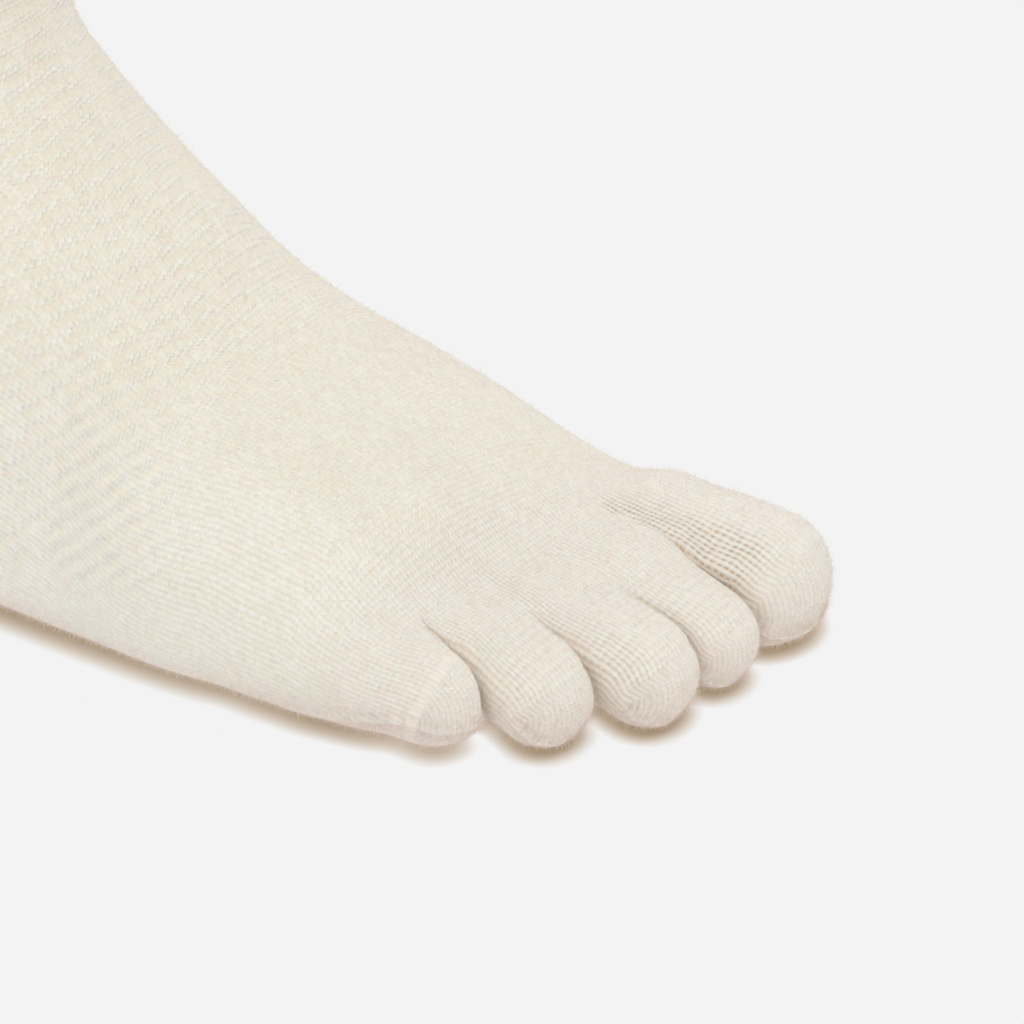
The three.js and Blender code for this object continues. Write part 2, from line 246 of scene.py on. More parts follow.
class SmoothTable:
    """A curve through a table's rows, level wherever the values stop rising or falling."""

    def __init__(self, rows):
        rows = np.array(rows, float)
        self.at = rows[:, 0]
        self.values = rows[:, 1:]
        gaps = np.diff(self.at)[:, None]
        rise = np.diff(self.values, axis=0) / gaps
        before, after = rise[:-1], rise[1:]
        first = 2 * gaps[1:] + gaps[:-1]
        second = gaps[1:] + 2 * gaps[:-1]
        same_way = before * after > 0
        whole = first / np.where(same_way, before, 1) + second / np.where(same_way, after, 1)
        whole = np.where(same_way, whole, 1)
        self.slopes = np.vstack([rise[:1], np.where(same_way, (first + second) / whole, 0), rise[-1:]])

    def __call__(self, position):
        x = np.clip(position, self.at[0], self.at[-1])
        i = np.clip(np.searchsorted(self.at, x, side="right") - 1, 0, len(self.at) - 2)
        width = self.at[i + 1] - self.at[i]
        u = ((x - self.at[i]) / width)[..., None]
        width = width[..., None]
        return (
            self.values[i] * (1 + 2 * u) * (1 - u) ** 2
            + self.slopes[i] * width * u * (1 - u) ** 2
            + self.values[i + 1] * u * u * (3 - 2 * u)
            + self.slopes[i + 1] * width * u * u * (u - 1)
        )


foot_at = SmoothTable(FOOT_SECTIONS)
leg_at = SmoothTable(LEG_SECTIONS)
ORIGIN = np.array([leg_at(np.array(float(SOCK_TOP)))[0], 0.0, SOCK_TOP])


def smooth_step(value, low, high):
    t = np.clip((value - low) / (high - low), 0, 1)
    return t * t * (3 - 2 * t)


def soft_min(a, b, blend):
    overlap = np.maximum(blend - np.abs(a - b), 0) / blend
    return np.minimum(a, b) - overlap * overlap * blend / 4


def soft_max(a, b, blend):
    return -soft_min(-a, -b, blend)


def superellipse(pairs, exponent):
    """Distance outside a superellipse, from pairs of an offset and the half size along it."""
    parts = [np.abs(offset) / half for offset, half in pairs]
    radius = np.maximum(sum(part**exponent for part in parts), 1e-9) ** (1 / exponent)
    slopes = [part ** (exponent - 1) / half for part, (_, half) in zip(parts, pairs)]
    slope = radius ** (1 - exponent) * np.sqrt(sum(s * s for s in slopes))
    return (radius - 1) / np.maximum(slope, 1e-3)


def beyond_line(p, line):
    """Distance in front of an upright plane through a line on the floor."""
    (x0, y0), (x1, y1) = line
    dx, dy = x0 - x1, y0 - y1
    return ((p[..., 0] - x0) * dy - (p[..., 1] - y0) * dx) / math.hypot(dx, dy)


def foot_distance(p):
    x, y, z = p[..., 0], p[..., 1], p[..., 2]
    row = foot_at(x)
    top, peak_y, medial_y, lateral_y, widest_z = (row[..., i] for i in range(5))
    side = np.where(y > peak_y, medial_y - peak_y, peak_y - lateral_y)
    height = np.where(z > widest_z, top - widest_z, widest_z + SOLE_SINK)
    upper = smooth_step(z - widest_z, -EXPONENT_BAND, EXPONENT_BAND)
    exponent = SOLE_EXPONENT + (INSTEP_EXPONENT - SOLE_EXPONENT) * upper
    heel_x = FOOT_SECTIONS[0][0]
    pairs = [(y - peak_y, side), (z - widest_z, height), (np.maximum(heel_x - x, 0), heel_x)]
    return soft_max(superellipse(pairs, exponent), beyond_line(p, FRONT_LINE), BLENDS["front"])


def leg_distance(p):
    row = leg_at(p[..., 2])
    column = superellipse([(p[..., 0] - row[..., 0], row[..., 1]), (p[..., 1], row[..., 2])], LEG_EXPONENT)
    return soft_max(column, LEG_END["z"] - p[..., 2], LEG_END["blend"])


def taper_distance(p, start, end, spread):
    start, end = np.array(start, float), np.array(end, float)
    axis = end[:3] - start[:3]
    offset = p - start[:3]
    along = np.clip(offset @ axis / (axis @ axis), 0, 1)
    out = offset - along[..., None] * axis
    radius = start[3] + (end[3] - start[3]) * along
    return np.sqrt(out[..., 0] ** 2 + (out[..., 1] / spread) ** 2 + out[..., 2] ** 2) - radius


def toe_distance(p, toe):
    root, knuckle, tip = toe["line"]
    back = taper_distance(p, root, knuckle, toe["spread"])
    return soft_min(back, taper_distance(p, knuckle, tip, toe["spread"]), BLENDS["knuckle"])


def sole_height(p):
    along = np.exp(-(((p[..., 0] - ARCH["x"]) / ARCH["length"]) ** 2))
    return ARCH["lift"] * along / (1 + np.exp(-(p[..., 1] - ARCH["start_y"]) / ARCH["slope"]))


def worn_distance(p, toes):
    """Distance outside the foot, the leg and the given toes' distance, cut off by the sole."""
    foot = soft_min(foot_distance(p), toes, BLENDS["toe_to_foot"])
    worn = soft_min(foot, leg_distance(p), BLENDS["leg_to_foot"])
    return soft_max(worn, sole_height(p) - p[..., 2], BLENDS["sole"])


def sock_distance(p):
    """Distance outside the whole sock, negative inside it."""
    toes = toe_distance(p, TOES[0])
    for toe in TOES[1:]:
        toes = soft_min(toes, toe_distance(p, toe), BLENDS["toe_to_toe"])
    return worn_distance(p, toes)


def parting(number, ahead):
    """How far a toe has parted from its inner and its outer neighbour, from 0, where they lie against
    each other as one surface, to 1, where the tube is round and clear of the other."""
    sides = [min(max((ahead - start) / (end - start), 0), 1) ** 2 for start, end in zip(CROTCHES, PARTED)]
    inner = sides[max(number - 1, 0)]
    outer = sides[min(number, len(sides) - 1)]
    return {number - 1: inner, number + 1: outer}


def toe_tube_distance(number, ahead):
    """The same for one toe's tube, as parted from its neighbours as it is at a distance ahead."""
    parted = parting(number, ahead)
    neighbours = [i for i in parted if 0 <= i < len(TOES)]
    middle = toe_line_at(TOES[number], ahead)

    def distance(p):
        every = [toe_distance(p, toe) for toe in TOES]
        own = every[number]
        web = np.max([(own - every[i] + TOE_GAP * parted[i]) / 2 for i in neighbours], axis=0)
        joined = every[0]
        for other in every[1:]:
            joined = soft_min(joined, other, BLENDS["toe_to_toe"])
        closed = np.maximum(worn_distance(p, joined), web)
        if not any(parted.values()):
            return closed
        inner_side = smooth_step((p - middle) @ ROOT_ACROSS, -TOE_SIDE_BAND, TOE_SIDE_BAND)
        share = parted[number + 1] + (parted[number - 1] - parted[number + 1]) * inner_side
        open_tube = soft_max(worn_distance(p, own), web, TOE_EDGE_BLEND)
        return closed + (open_tube - closed) * share

    return distance


def reach(distance, starts, ways, depth=0.0):
    """How far out along each ray the surface at a depth lies."""
    near = np.zeros(starts.shape[:-1])
    far = near + SEARCH_STEP
    while True:
        inside = distance(starts + ways * far[..., None]) < -depth
        if not inside.any():
            break
        near = np.where(inside, far, near)
        far = np.where(inside, far + SEARCH_STEP, far)
    for _ in range(SEARCH_HALVINGS):
        middle = (near + far) / 2
        inside = distance(starts + ways * middle[..., None]) < -depth
        near = np.where(inside, middle, near)
        far = np.where(inside, far, middle)
    return (near + far) / 2


def unit(vectors):
    return vectors / np.linalg.norm(vectors, axis=-1, keepdims=True)


def sections_at(distance, near, across, up):
    """Sections near some points: their middles and half sizes along across and up."""
    middle = np.array(near, float)
    sizes = []
    for axis in (up, across):
        ahead = reach(distance, middle, axis)
        behind = reach(distance, middle, -axis)
        middle = middle + axis * ((ahead - behind) / 2)[..., None]
        sizes.append((ahead + behind) / 2)
    return {"middle": middle, "across": across, "up": up, "height": sizes[0], "width": sizes[1]}


def rings_at(distance, sections, rays, depth=0.0, tilt=None):
    """A close ring of points on the surface at each section. On a wide, low section the rays start
    along a level line. Tilt, an axis and an angle for each ring, leans the rays over a toe's tip."""
    angle = 2 * math.pi * np.arange(rays) / rays
    width = sections["width"][:, None, None]
    height = sections["height"][:, None, None]
    across = sections["across"][:, None, :]
    up = sections["up"][:, None, :]
    sideways = np.cos(angle)[None, :, None]
    spread = np.maximum(width - ROUND_RATIO * height, 0) * (tilt is None)
    squareness = spread / width
    turn = 1 - squareness + squareness * sideways**END_TURN_POWER
    starts = sections["middle"][:, None, :] + across * spread * sideways
    ways = unit(across * width * sideways * turn + up * height * np.sin(angle)[None, :, None])
    if tilt is not None:
        axis, lean = tilt
        ways = ways * np.cos(lean)[:, None, None] + axis * np.sin(lean)[:, None, None]
    return starts + ways * reach(distance, starts, ways, depth)[..., None]


def along_ring(ring, shares):
    """Points at shares of a closed ring's length."""
    closed = np.vstack([ring, ring[:1]])
    travelled = np.concatenate([[0], np.cumsum(np.linalg.norm(np.diff(closed, axis=0), axis=1))])
    at = np.mod(shares, 1) * travelled[-1]
    return np.stack([np.interp(at, travelled, closed[:, i]) for i in range(3)], axis=1)


def shares_of(ring, points):
    """The share of a closed ring's length at which each point lies."""
    closed = np.vstack([ring, ring[:1]])
    step = np.diff(closed, axis=0)
    travelled = np.concatenate([[0], np.cumsum(np.linalg.norm(step, axis=1))])
    shares = []
    for point in points:
        part = np.clip(np.sum((point - ring) * step, axis=1) / np.sum(step * step, axis=1), 0, 1)
        best = np.argmin(np.linalg.norm(ring + step * part[:, None] - point, axis=1))
        length = travelled[best + 1] - travelled[best]
        shares.append((travelled[best] + part[best] * length) / travelled[-1])
    return np.array(shares)


def even_strip(points, count):
    """Points evenly spaced along an open line."""
    travelled = np.concatenate([[0], np.cumsum(np.linalg.norm(np.diff(points, axis=0), axis=1))])
    at = np.linspace(0, travelled[-1], count + 1)
    return np.stack([np.interp(at, travelled, points[:, i]) for i in range(3)], axis=1)


ROOT_ACROSS = unit(np.array([TOE_ROOT[0][0] - TOE_ROOT[1][0], TOE_ROOT[0][1] - TOE_ROOT[1][1], 0.0]))


def toe_line_at(toe, ahead):
    """The point of a toe's bent line that is some way ahead of the plane of the roots."""
    points = [np.array(row[:3], float) for row in toe["line"]]
    depths = [float(beyond_line(point, TOE_ROOT)) for point in points]
    first, second = (0, 1) if ahead < depths[1] else (1, 2)
    share = (ahead - depths[first]) / (depths[second] - depths[first])
    return points[first] + (points[second] - points[first]) * share


def repeated(vector, count):
    return np.repeat(vector[None, :], count, axis=0)


def crossing(values, first, last):
    """Where in a run of a ring's points the values change sign, as a fraction of an index."""
    for i in range(first, last):
        a, b = values[i % len(values)], values[(i + 1) % len(values)]
        if (a < 0) != (b < 0):
            return i + a / (a - b)
    raise RuntimeError("a toe's ring has no crease where one is expected")


def ring_run(ring, start, end):
    """A ring's points from one fractional index to another."""
    count = len(ring)

    def at(index):
        low = math.floor(index)
        share = index - low
        return ring[low % count] * (1 - share) + ring[(low + 1) % count] * share

    inner = [ring[i % count] for i in range(math.floor(start) + 1, math.ceil(end))]
    return np.array([at(start), *inner, at(end)])


def round_section(near, across, up):
    """A section whose rays leave its middle evenly."""
    one = np.array([1.0])
    section = {"middle": near[None, :], "across": across[None, :], "up": up[None, :]}
    return {**section, "width": one, "height": one}


def section_in_root_plane(near):
    return round_section(near, ROOT_ACROSS, UPWARD)


def root_strips(number, ahead):
    """A toe's section between the creases, as open strips, at a plane beside that of the roots."""
    toe = TOES[number]
    tube = toe_tube_distance(number, ahead)
    ring = rings_at(tube, section_in_root_plane(toe_line_at(toe, ahead)), TOE_RAYS)[0]
    own = toe_distance(ring, toe)
    sock = sock_distance(ring)
    top, side, low = TOE_RAYS // 4, TOE_RAYS // 2, 3 * TOE_RAYS // 4
    ends = {}
    if number > 0:
        web = (own - toe_distance(ring, TOES[number - 1])) / 2 - sock
        ends["medial_top"] = crossing(web, 0, top)
        ends["medial_low"] = crossing(web, low, TOE_RAYS)
    if number < len(TOES) - 1:
        web = (own - toe_distance(ring, TOES[number + 1])) / 2 - sock
        ends["lateral_top"] = crossing(web, top, side)
        ends["lateral_low"] = crossing(web, side, low)
    if number == 0:
        return {
            "upper": even_strip(ring_run(ring, 0, ends["lateral_top"]), UPPER_COLUMNS[0]),
            "lateral": even_strip(ring_run(ring, ends["lateral_top"], ends["lateral_low"]), WEB_COLUMNS),
            "lower": even_strip(ring_run(ring, ends["lateral_low"], TOE_RAYS), LOWER_COLUMNS[0]),
        }
    medial = ring_run(ring, ends["medial_low"], ends["medial_top"] + TOE_RAYS)
    strips = {"medial": even_strip(medial, WEB_COLUMNS)}
    if number == len(TOES) - 1:
        upper = ring_run(ring, ends["medial_top"], ends["medial_low"])
        return {**strips, "upper": even_strip(upper, UPPER_COLUMNS[-1])}
    upper = ring_run(ring, ends["medial_top"], ends["lateral_top"])
    lateral = ring_run(ring, ends["lateral_top"], ends["lateral_low"])
    lower = ring_run(ring, ends["lateral_low"], ends["medial_low"])
    strips["upper"] = even_strip(upper, UPPER_COLUMNS[number])
    strips["lateral"] = even_strip(lateral, WEB_COLUMNS)
    strips["lower"] = even_strip(lower, LOWER_COLUMNS[number])
    return strips


def weld(strips, pair, with_web):
    """Gives two neighbouring toes the same points where their strips meet, and in the web too."""
    inner, outer = strips[pair], strips[pair + 1]
    top = (inner["upper"][-1] + outer["upper"][0]) / 2
    low_strip = outer["lower"] if "lower" in outer else outer["upper"]
    low = (inner["lower"][0] + low_strip[-1]) / 2
    inner["upper"][-1] = outer["upper"][0] = top
    inner["lower"][0] = low
    low_strip[-1] = low
    if with_web:
        web = (inner["lateral"] + outer["medial"][::-1]) / 2
        web[0], web[-1] = top, low
        inner["lateral"], outer["medial"] = web, web[::-1].copy()


def tip_frame(number):
    """The middle of a toe's tip, and the ways from it to the seam, across the toe and square to both."""
    knuckle, tip = (np.array(row[:3], float) for row in TOES[number]["line"][1:])
    level = unit(tip - knuckle)
    across = unit(np.cross(UPWARD, level))
    drop = math.radians(SEAM_DROPS[number])
    to_seam = level * math.cos(drop) - np.cross(level, across) * math.sin(drop)
    return tip, to_seam, across, np.cross(to_seam, across)


def toe_rings(number, ahead):
    """A toe's rings from where it has parted from its neighbours to its tip, and the tip's own point."""
    toe = TOES[number]
    tip, tip_axis, tip_across, tip_up = tip_frame(number)
    tip_ahead = float(beyond_line(tip, TOE_ROOT))
    count = max(round((tip_ahead - ahead) / RING_STEP), LEAST_TOE_RINGS)
    share = np.arange(1, count + 1) / count
    near = np.array([toe_line_at(toe, ahead + (tip_ahead - ahead) * s) for s in share])
    turn = smooth_step(share, 0, 1)[:, None]
    across = unit(ROOT_ACROSS + (tip_across - ROOT_ACROSS) * turn)
    up = unit(UPWARD + (tip_up - UPWARD) * turn)
    rings = []
    for i in range(count):
        tube = toe_tube_distance(number, ahead + (tip_ahead - ahead) * share[i])
        section = round_section(near[i], across[i], up[i])
        rings.append(rings_at(tube, section, TOE_RAYS)[0])
    for degrees in CAP_ANGLES:
        lean = np.array([math.radians(degrees)])
        rings.append(rings_at(tube, section, TOE_RAYS, tilt=(tip_axis, lean))[0])
    pole = near[-1] + tip_axis * reach(tube, near[-1:], tip_axis[None, :])[0]
    return rings, pole


def body_rings():
    """Close rings of the leg, the heel and the foot down to the roots of the toes, and their sections'
    middles. The heel's sections turn about the ankle's bend, and the foot's turn to the toes' slant."""
    heights = np.linspace(CUFF_BOTTOM, HEEL_PIVOT[1], LEG_RINGS)
    leg_near = np.stack([leg_at(heights)[:, 0], 0 * heights, heights], axis=1)
    turn = np.linspace(0, 1, HEEL_RINGS + 1)[1:]
    angle = turn * math.pi / 2
    heel_up = np.stack([np.cos(angle), 0 * angle, np.sin(angle)], axis=1)
    pivot = np.array([HEEL_PIVOT[0], 0, HEEL_PIVOT[1]])
    reaches = HEEL_REACH[0] + (HEEL_REACH[1] - HEEL_REACH[0]) * turn
    heel_near = pivot - heel_up * reaches[:, None]
    back = np.array(FOOT_BACK, float)
    front = (np.array([*TOE_ROOT[0], 0.0]) + np.array([*TOE_ROOT[1], 0.0])) / 2
    front[2] = FOOT_FRONT_HEIGHT
    along = np.linspace(0, 1, FOOT_RINGS + 1)[1:, None]
    foot_near = back + (front - back) * along
    foot_across = unit(MEDIAL + (ROOT_ACROSS - MEDIAL) * along)
    near = np.vstack([leg_near, heel_near, foot_near])
    across = np.vstack([repeated(MEDIAL, LEG_RINGS + HEEL_RINGS), foot_across])
    up = np.vstack([repeated(FORWARD, LEG_RINGS), heel_up, repeated(UPWARD, FOOT_RINGS)])
    sections = sections_at(sock_distance, near, across, up)
    return rings_at(sock_distance, sections, BODY_RAYS), sections


def ring_edges(bm, ring):
    return [bm.edges.get((a, b)) for a, b in zip(ring, ring[1:] + ring[:1])]


def grow(bm, ring, places):
    """Extrudes a closed ring of vertices and moves the new ring's to their places, in millimetres."""
    made = bmesh.ops.extrude_edge_only(bm, edges=ring_edges(bm, ring))["geom"]
    fresh = {item for item in made if isinstance(item, bmesh.types.BMVert)}
    grown = []
    for vert, place in zip(ring, places):
        new = next(e.other_vert(vert) for e in vert.link_edges if e.other_vert(vert) in fresh)
        new.co = (place - ORIGIN) * MM
        grown.append(new)
    return grown


def mark_wales(bm, layer, ring, grown, wales, courses):
    """Writes the knit's own coordinates on the faces between two rings: wales round the foot and
    courses along it. Wales holds a pair for each column and courses a value for each ring."""
    count = len(ring)
    for i in range(count):
        ahead = (i + 1) % count
        face = bm.edges.get((grown[i], grown[ahead])).link_faces[0]
        corners = {
            ring[i]: (wales[i][0], courses[0]),
            ring[ahead]: (wales[i][1], courses[0]),
            grown[i]: (wales[i][0], courses[1]),
            grown[ahead]: (wales[i][1], courses[1]),
        }
        for loop in face.loops:
            loop[layer].uv = corners[loop.vert]


def strip_wales(first, last, count):
    edges = np.linspace(first, last, count + 1)
    return list(zip(edges[:-1], edges[1:]))


def run_of_toes(strips, first, last):
    """The ring round a run of neighbouring toes: its points, its wales and where its creases are."""
    upper_start = np.cumsum([0, *UPPER_COLUMNS]) * WALES_A_COLUMN
    lower_start = np.cumsum([upper_start[-1] / WALES_A_COLUMN, *LOWER_COLUMNS[::-1]]) * WALES_A_COLUMN
    points, wales, creases = [], [], {}

    def lay(strip, start, end):
        points.extend(strip[:-1])
        wales.extend(strip_wales(start, end, len(strip) - 1))

    for i in range(first, last + 1):
        lay(strips[i]["upper"], upper_start[i], upper_start[i + 1])
        creases[i, "top"] = len(points)
    if last < len(TOES) - 1:
        lay(strips[last]["lateral"], upper_start[last + 1], upper_start[last + 1] + WEB_WALES)
    for i in range(min(last, len(LOWER_COLUMNS) - 1), first - 1, -1):
        creases[i, "low"] = len(points)
        start = lower_start[len(LOWER_COLUMNS) - 1 - i]
        lay(strips[i]["lower"], start, start + LOWER_COLUMNS[i] * WALES_A_COLUMN)
    if first > 0:
        start = lower_start[len(LOWER_COLUMNS) - first]
        lay(strips[first]["medial"], start, start + WEB_WALES)
    return points, wales, creases


def part_ring(bm, ring, top, low, web):
    """Joins a ring's two crease points by a line of new vertices, and returns the two rings it makes."""
    line = [bm.verts.new((place - ORIGIN) * MM) for place in web[1:-1]]
    for start, end in zip([ring[top], *line], [*line, ring[low]]):
        bm.edges.new((start, end))
    return ring[: top + 1] + line + ring[low:], ring[top : low + 1] + line[::-1]


def even_shares(count):
    return np.arange(count) / count


def blended_shares(exact, even, weight):
    """A ring's shares, from its exact ones at weight 0 to evenly spaced ones at weight 1."""
    return exact + (even - exact) * weight


def unwrapped(shares):
    return shares[0] + np.mod(shares - shares[0] + 1e-4, 1) - 1e-4


def heel_course(place, middle, leg_course, foot_course):
    """Courses in the heel's pocket: level behind the leg, upright under the foot, and meeting in a
    slanting line from the ankle to the back of the heel."""
    down, back = HEEL_PIVOT[1] - place[2], HEEL_PIVOT[0] - place[0]
    if middle[2] > middle[0]:
        return leg_course + down / COURSE_PITCH
    return foot_course - back / COURSE_PITCH


def mark_tip(bm, layer, number, rings, wales, course):
    """Writes the knit's coordinates over a toe's tip, from its first ring. The wales stay side by side
    over the tip, where each half of them ends at the seam, instead of meeting in one point."""
    tip, to_seam, across, up = tip_frame(number)
    count = len(wales)
    first = np.array([vert.co for vert in rings[0]]) / MM + ORIGIN - tip
    radius = np.mean(np.linalg.norm(first, axis=1))
    angles = np.unwrap(np.arctan2(first @ up, first @ across))
    way = np.sign(angles[-1] - angles[0])
    travelled = np.append((angles - angles[0]) * way, 2 * math.pi)

    def column_of(offset, half):
        side = math.asin(np.clip(offset @ across / np.linalg.norm(offset), -1, 1))
        angle = (half * (math.pi / 2 - side) - angles[0]) * way % (2 * math.pi)
        return np.interp(angle, travelled, np.arange(count + 1))

    for ring, grown in zip(rings[:-1], rings[1:]):
        for i in range(count):
            face = bm.edges.get((grown[i], grown[(i + 1) % count])).link_faces[0]
            offsets = [np.array(loop.vert.co) / MM + ORIGIN - tip for loop in face.loops]
            middle = np.mean(offsets, axis=0)
            half = 1 if middle @ up > 0 else -1
            column = column_of(middle, half)
            start, end = wales[int(column) % count]
            for loop, offset in zip(face.loops, offsets):
                apart = (column_of(offset, half) - column + count / 2) % count - count / 2
                lean = math.atan2(offset @ to_seam, abs(offset @ up))
                wale = start + (end - start) * (column % 1 + apart)
                loop[layer].uv = (wale, course + radius * lean / COURSE_PITCH)


def grow_toe(bm, layer, ring, strips, number, ahead, course):
    """Grows a toe's tube from where it has parted from its neighbours, and closes its tip."""
    points, wales, _ = run_of_toes(strips, number, number)
    rings, pole = toe_rings(number, ahead)
    section = section_in_root_plane(toe_line_at(TOES[number], ahead))
    start = rings_at(toe_tube_distance(number, ahead), section, TOE_RAYS)[0]
    exact = unwrapped(shares_of(start, points))
    even = even_shares(len(exact))
    even = even + np.mean(exact - even)
    straight = len(rings) - len(CAP_ANGLES)
    before = np.mean(points, axis=0)
    tip_rings = []
    for i, close_ring in enumerate(rings):
        weight = smooth_step((i + 1) / straight, 0, 1)
        places = along_ring(close_ring, blended_shares(exact, even, weight))
        grown = grow(bm, ring, places)
        if i < straight:
            middle = np.mean(places, axis=0)
            step = np.linalg.norm(middle - before)
            mark_wales(bm, layer, ring, grown, wales, (course, course + step / COURSE_PITCH))
            before, course = middle, course + step / COURSE_PITCH
        if i >= straight - 1:
            tip_rings.append(grown)
        ring = grown
    end = grow(bm, ring, repeated(pole, len(ring)))
    mark_tip(bm, layer, number, [*tip_rings, end], wales, course)
    bmesh.ops.pointmerge(bm, verts=end, merge_co=end[0].co)


def knit_body_mesh():
    """The body's cloth as one surface, with its wales and courses in the map named knit."""
    close_rings, sections = body_rings()
    joined = [round(crotch / RING_STEP) for crotch in CROTCHES]
    free = [max(joined[max(i - 1, 0) : i + 1]) for i in range(len(TOES))]
    strips = []
    for k in range(max(free) + 1):
        strips.append([root_strips(i, k * RING_STEP) if k <= free[i] else None for i in range(len(TOES))])
        for pair, last in enumerate(joined):
            if k <= last:
                weld(strips[k], pair, k == last)
    root_points, wales, creases = run_of_toes(strips[0], 0, len(TOES) - 1)
    exact = shares_of(close_rings[-1], root_points)
    exact[0] -= round(exact[0])
    exact = unwrapped(exact)
    foot_start = LEG_RINGS + HEEL_RINGS

    bm = bmesh.new()
    layer = bm.loops.layers.uv.new("knit")
    ring = bmesh.ops.create_circle(bm, segments=COLUMNS, radius=START_RADIUS)["verts"]
    front = COLUMNS // 4
    course = 0.0
    leg_course = (CUFF_BOTTOM - HEEL_PIVOT[1]) / COURSE_PITCH
    even = even_shares(COLUMNS)
    places = along_ring(close_rings[0], even)
    for vert, place in zip(ring, places):
        vert.co = (place - ORIGIN) * MM
    pocket = []
    for i in range(1, len(close_rings)):
        weight = 1 - smooth_step((i - foot_start + 1) / FOOT_RINGS, 0, 1)
        before = places
        if i < len(close_rings) - 1:
            places = along_ring(close_rings[i], blended_shares(exact, even, weight))
        else:
            places = np.array(root_points)
        grown = grow(bm, ring, places)
        on_heel = LEG_RINGS <= i < foot_start
        measured = sections["middle"][i] - sections["middle"][i - 1]
        if on_heel:
            measured = places[front] - before[front]
        ahead = course + np.linalg.norm(measured) / COURSE_PITCH
        mark_wales(bm, layer, ring, grown, wales, (course, ahead))
        if on_heel:
            for c in range(*HEEL_COLUMNS):
                pocket.append(bm.edges.get((grown[c], grown[c + 1])).link_faces[0])
        ring, course = grown, ahead
        if i == foot_start - 1:
            foot_course = course
    for face in pocket:
        middle = np.array(face.calc_center_median()) / MM + ORIGIN
        for loop in face.loops:
            place = np.array(loop.vert.co) / MM + ORIGIN
            loop[layer].uv[1] = heel_course(place, middle, leg_course, foot_course)

    runs = [(0, len(TOES) - 1, ring, creases)]
    for k in range(1, max(free) + 1):
        later = []
        ahead = course + RING_STEP / COURSE_PITCH
        for first, last, ring, _ in runs:
            points, wales, creases = run_of_toes(strips[k - 1], first, last)
            points = run_of_toes(strips[k], first, last)[0]
            grown = grow(bm, ring, points)
            mark_wales(bm, layer, ring, grown, wales, (course, ahead))
            later.append((first, last, grown, creases))
        course = ahead
        runs = []
        while later:
            first, last, ring, creases = later.pop()
            split = next((pair for pair in range(first, last) if joined[pair] == k), None)
            if split is None:
                if first == last and free[first] == k:
                    grow_toe(bm, layer, ring, strips[k], first, k * RING_STEP, course)
                else:
                    runs.append((first, last, ring, creases))
                continue
            top, low = creases[split, "top"], creases[split, "low"]
            inner, outer = part_ring(bm, ring, top, low, strips[k][split]["lateral"])
            for run_first, run_last, run_ring in ((first, split, inner), (split + 1, last, outer)):
                later.append((run_first, run_last, run_ring, run_of_toes(strips[k], run_first, run_last)[2]))

    bmesh.ops.recalc_face_normals(bm, faces=bm.faces)
    bm.faces.ensure_lookup_table()
    if bm.faces[0].normal.dot(bm.faces[0].calc_center_median() * Vector((1, 1, 0))) < 0:
        bmesh.ops.reverse_faces(bm, faces=bm.faces)
    return bm


def knit_cuff_mesh(sizes):
    """The ribbed cuff's closed wall: up the ribbed outside, over the rounded lip and down the inside."""
    columns = sizes.rib_count * RIB_COLUMNS
    depth = sizes.rib_depth / MM
    wall = sizes.cuff_wall / MM
    rise = np.linspace(0, 1, CUFF_RINGS)
    lip = np.linspace(0, math.pi, LIP_RINGS + 2)[1:-1]
    top = SOCK_TOP - wall / 2
    heights = CUFF_BOTTOM + (top - CUFF_BOTTOM) * rise
    heights = np.concatenate([heights, top + wall / 2 * np.sin(lip), heights[::-1]])
    depths = np.concatenate([0 * rise, wall / 2 * (1 - np.cos(lip)), 0 * rise + wall])
    fade = smooth_step(heights - CUFF_BOTTOM, 0, RIB_FADE)
    outside = np.concatenate([0 * rise + 1, 0.5 + 0.5 * np.cos(lip), 0 * rise])
    count = len(heights)
    near = np.stack([leg_at(heights)[:, 0], np.zeros(count), heights], axis=1)
    sections = sections_at(sock_distance, near, repeated(MEDIAL, count), repeated(FORWARD, count))
    rings = rings_at(sock_distance, sections, BODY_RAYS)
    shares = np.arange(columns) / columns
    profile = 0.5 - 0.5 * np.cos(2 * math.pi * np.arange(columns) / RIB_COLUMNS)
    bm = bmesh.new()
    layer = bm.loops.layers.uv.new("knit")
    ring = bmesh.ops.create_circle(bm, segments=columns, radius=START_RADIUS)["verts"]
    first = list(ring)
    wales = strip_wales(0, WALES_ROUND, columns)
    course = 0.0
    for i in range(count):
        places = along_ring(rings[i], shares)
        outward = unit((places - sections["middle"][i]) * (1, 1, 0))
        lift = depth * fade[i] * profile[:, None] * max(outside[i], 0.25) - depths[i]
        places = places + outward * lift
        if i == 0:
            for vert, place in zip(ring, places):
                vert.co = (place - ORIGIN) * MM
            before = places
            continue
        grown = grow(bm, ring, places)
        ahead = course + np.linalg.norm(places[0] - before[0]) / COURSE_PITCH
        mark_wales(bm, layer, ring, grown, wales, (course, ahead))
        ring, before, course = grown, places, ahead
    bmesh.ops.bridge_loops(bm, edges=ring_edges(bm, ring) + ring_edges(bm, first))
    bmesh.ops.recalc_face_normals(bm, faces=bm.faces)
    return bm


def linear(code):
    """A colour's sRGB hex value as linear red, green, blue and alpha."""
    parts = [int(code[i : i + 2], 16) / 255 for i in (1, 3, 5)]
    return (*[c / 12.92 if c <= 0.04045 else ((c + 0.055) / 1.055) ** 2.4 for c in parts], 1.0)


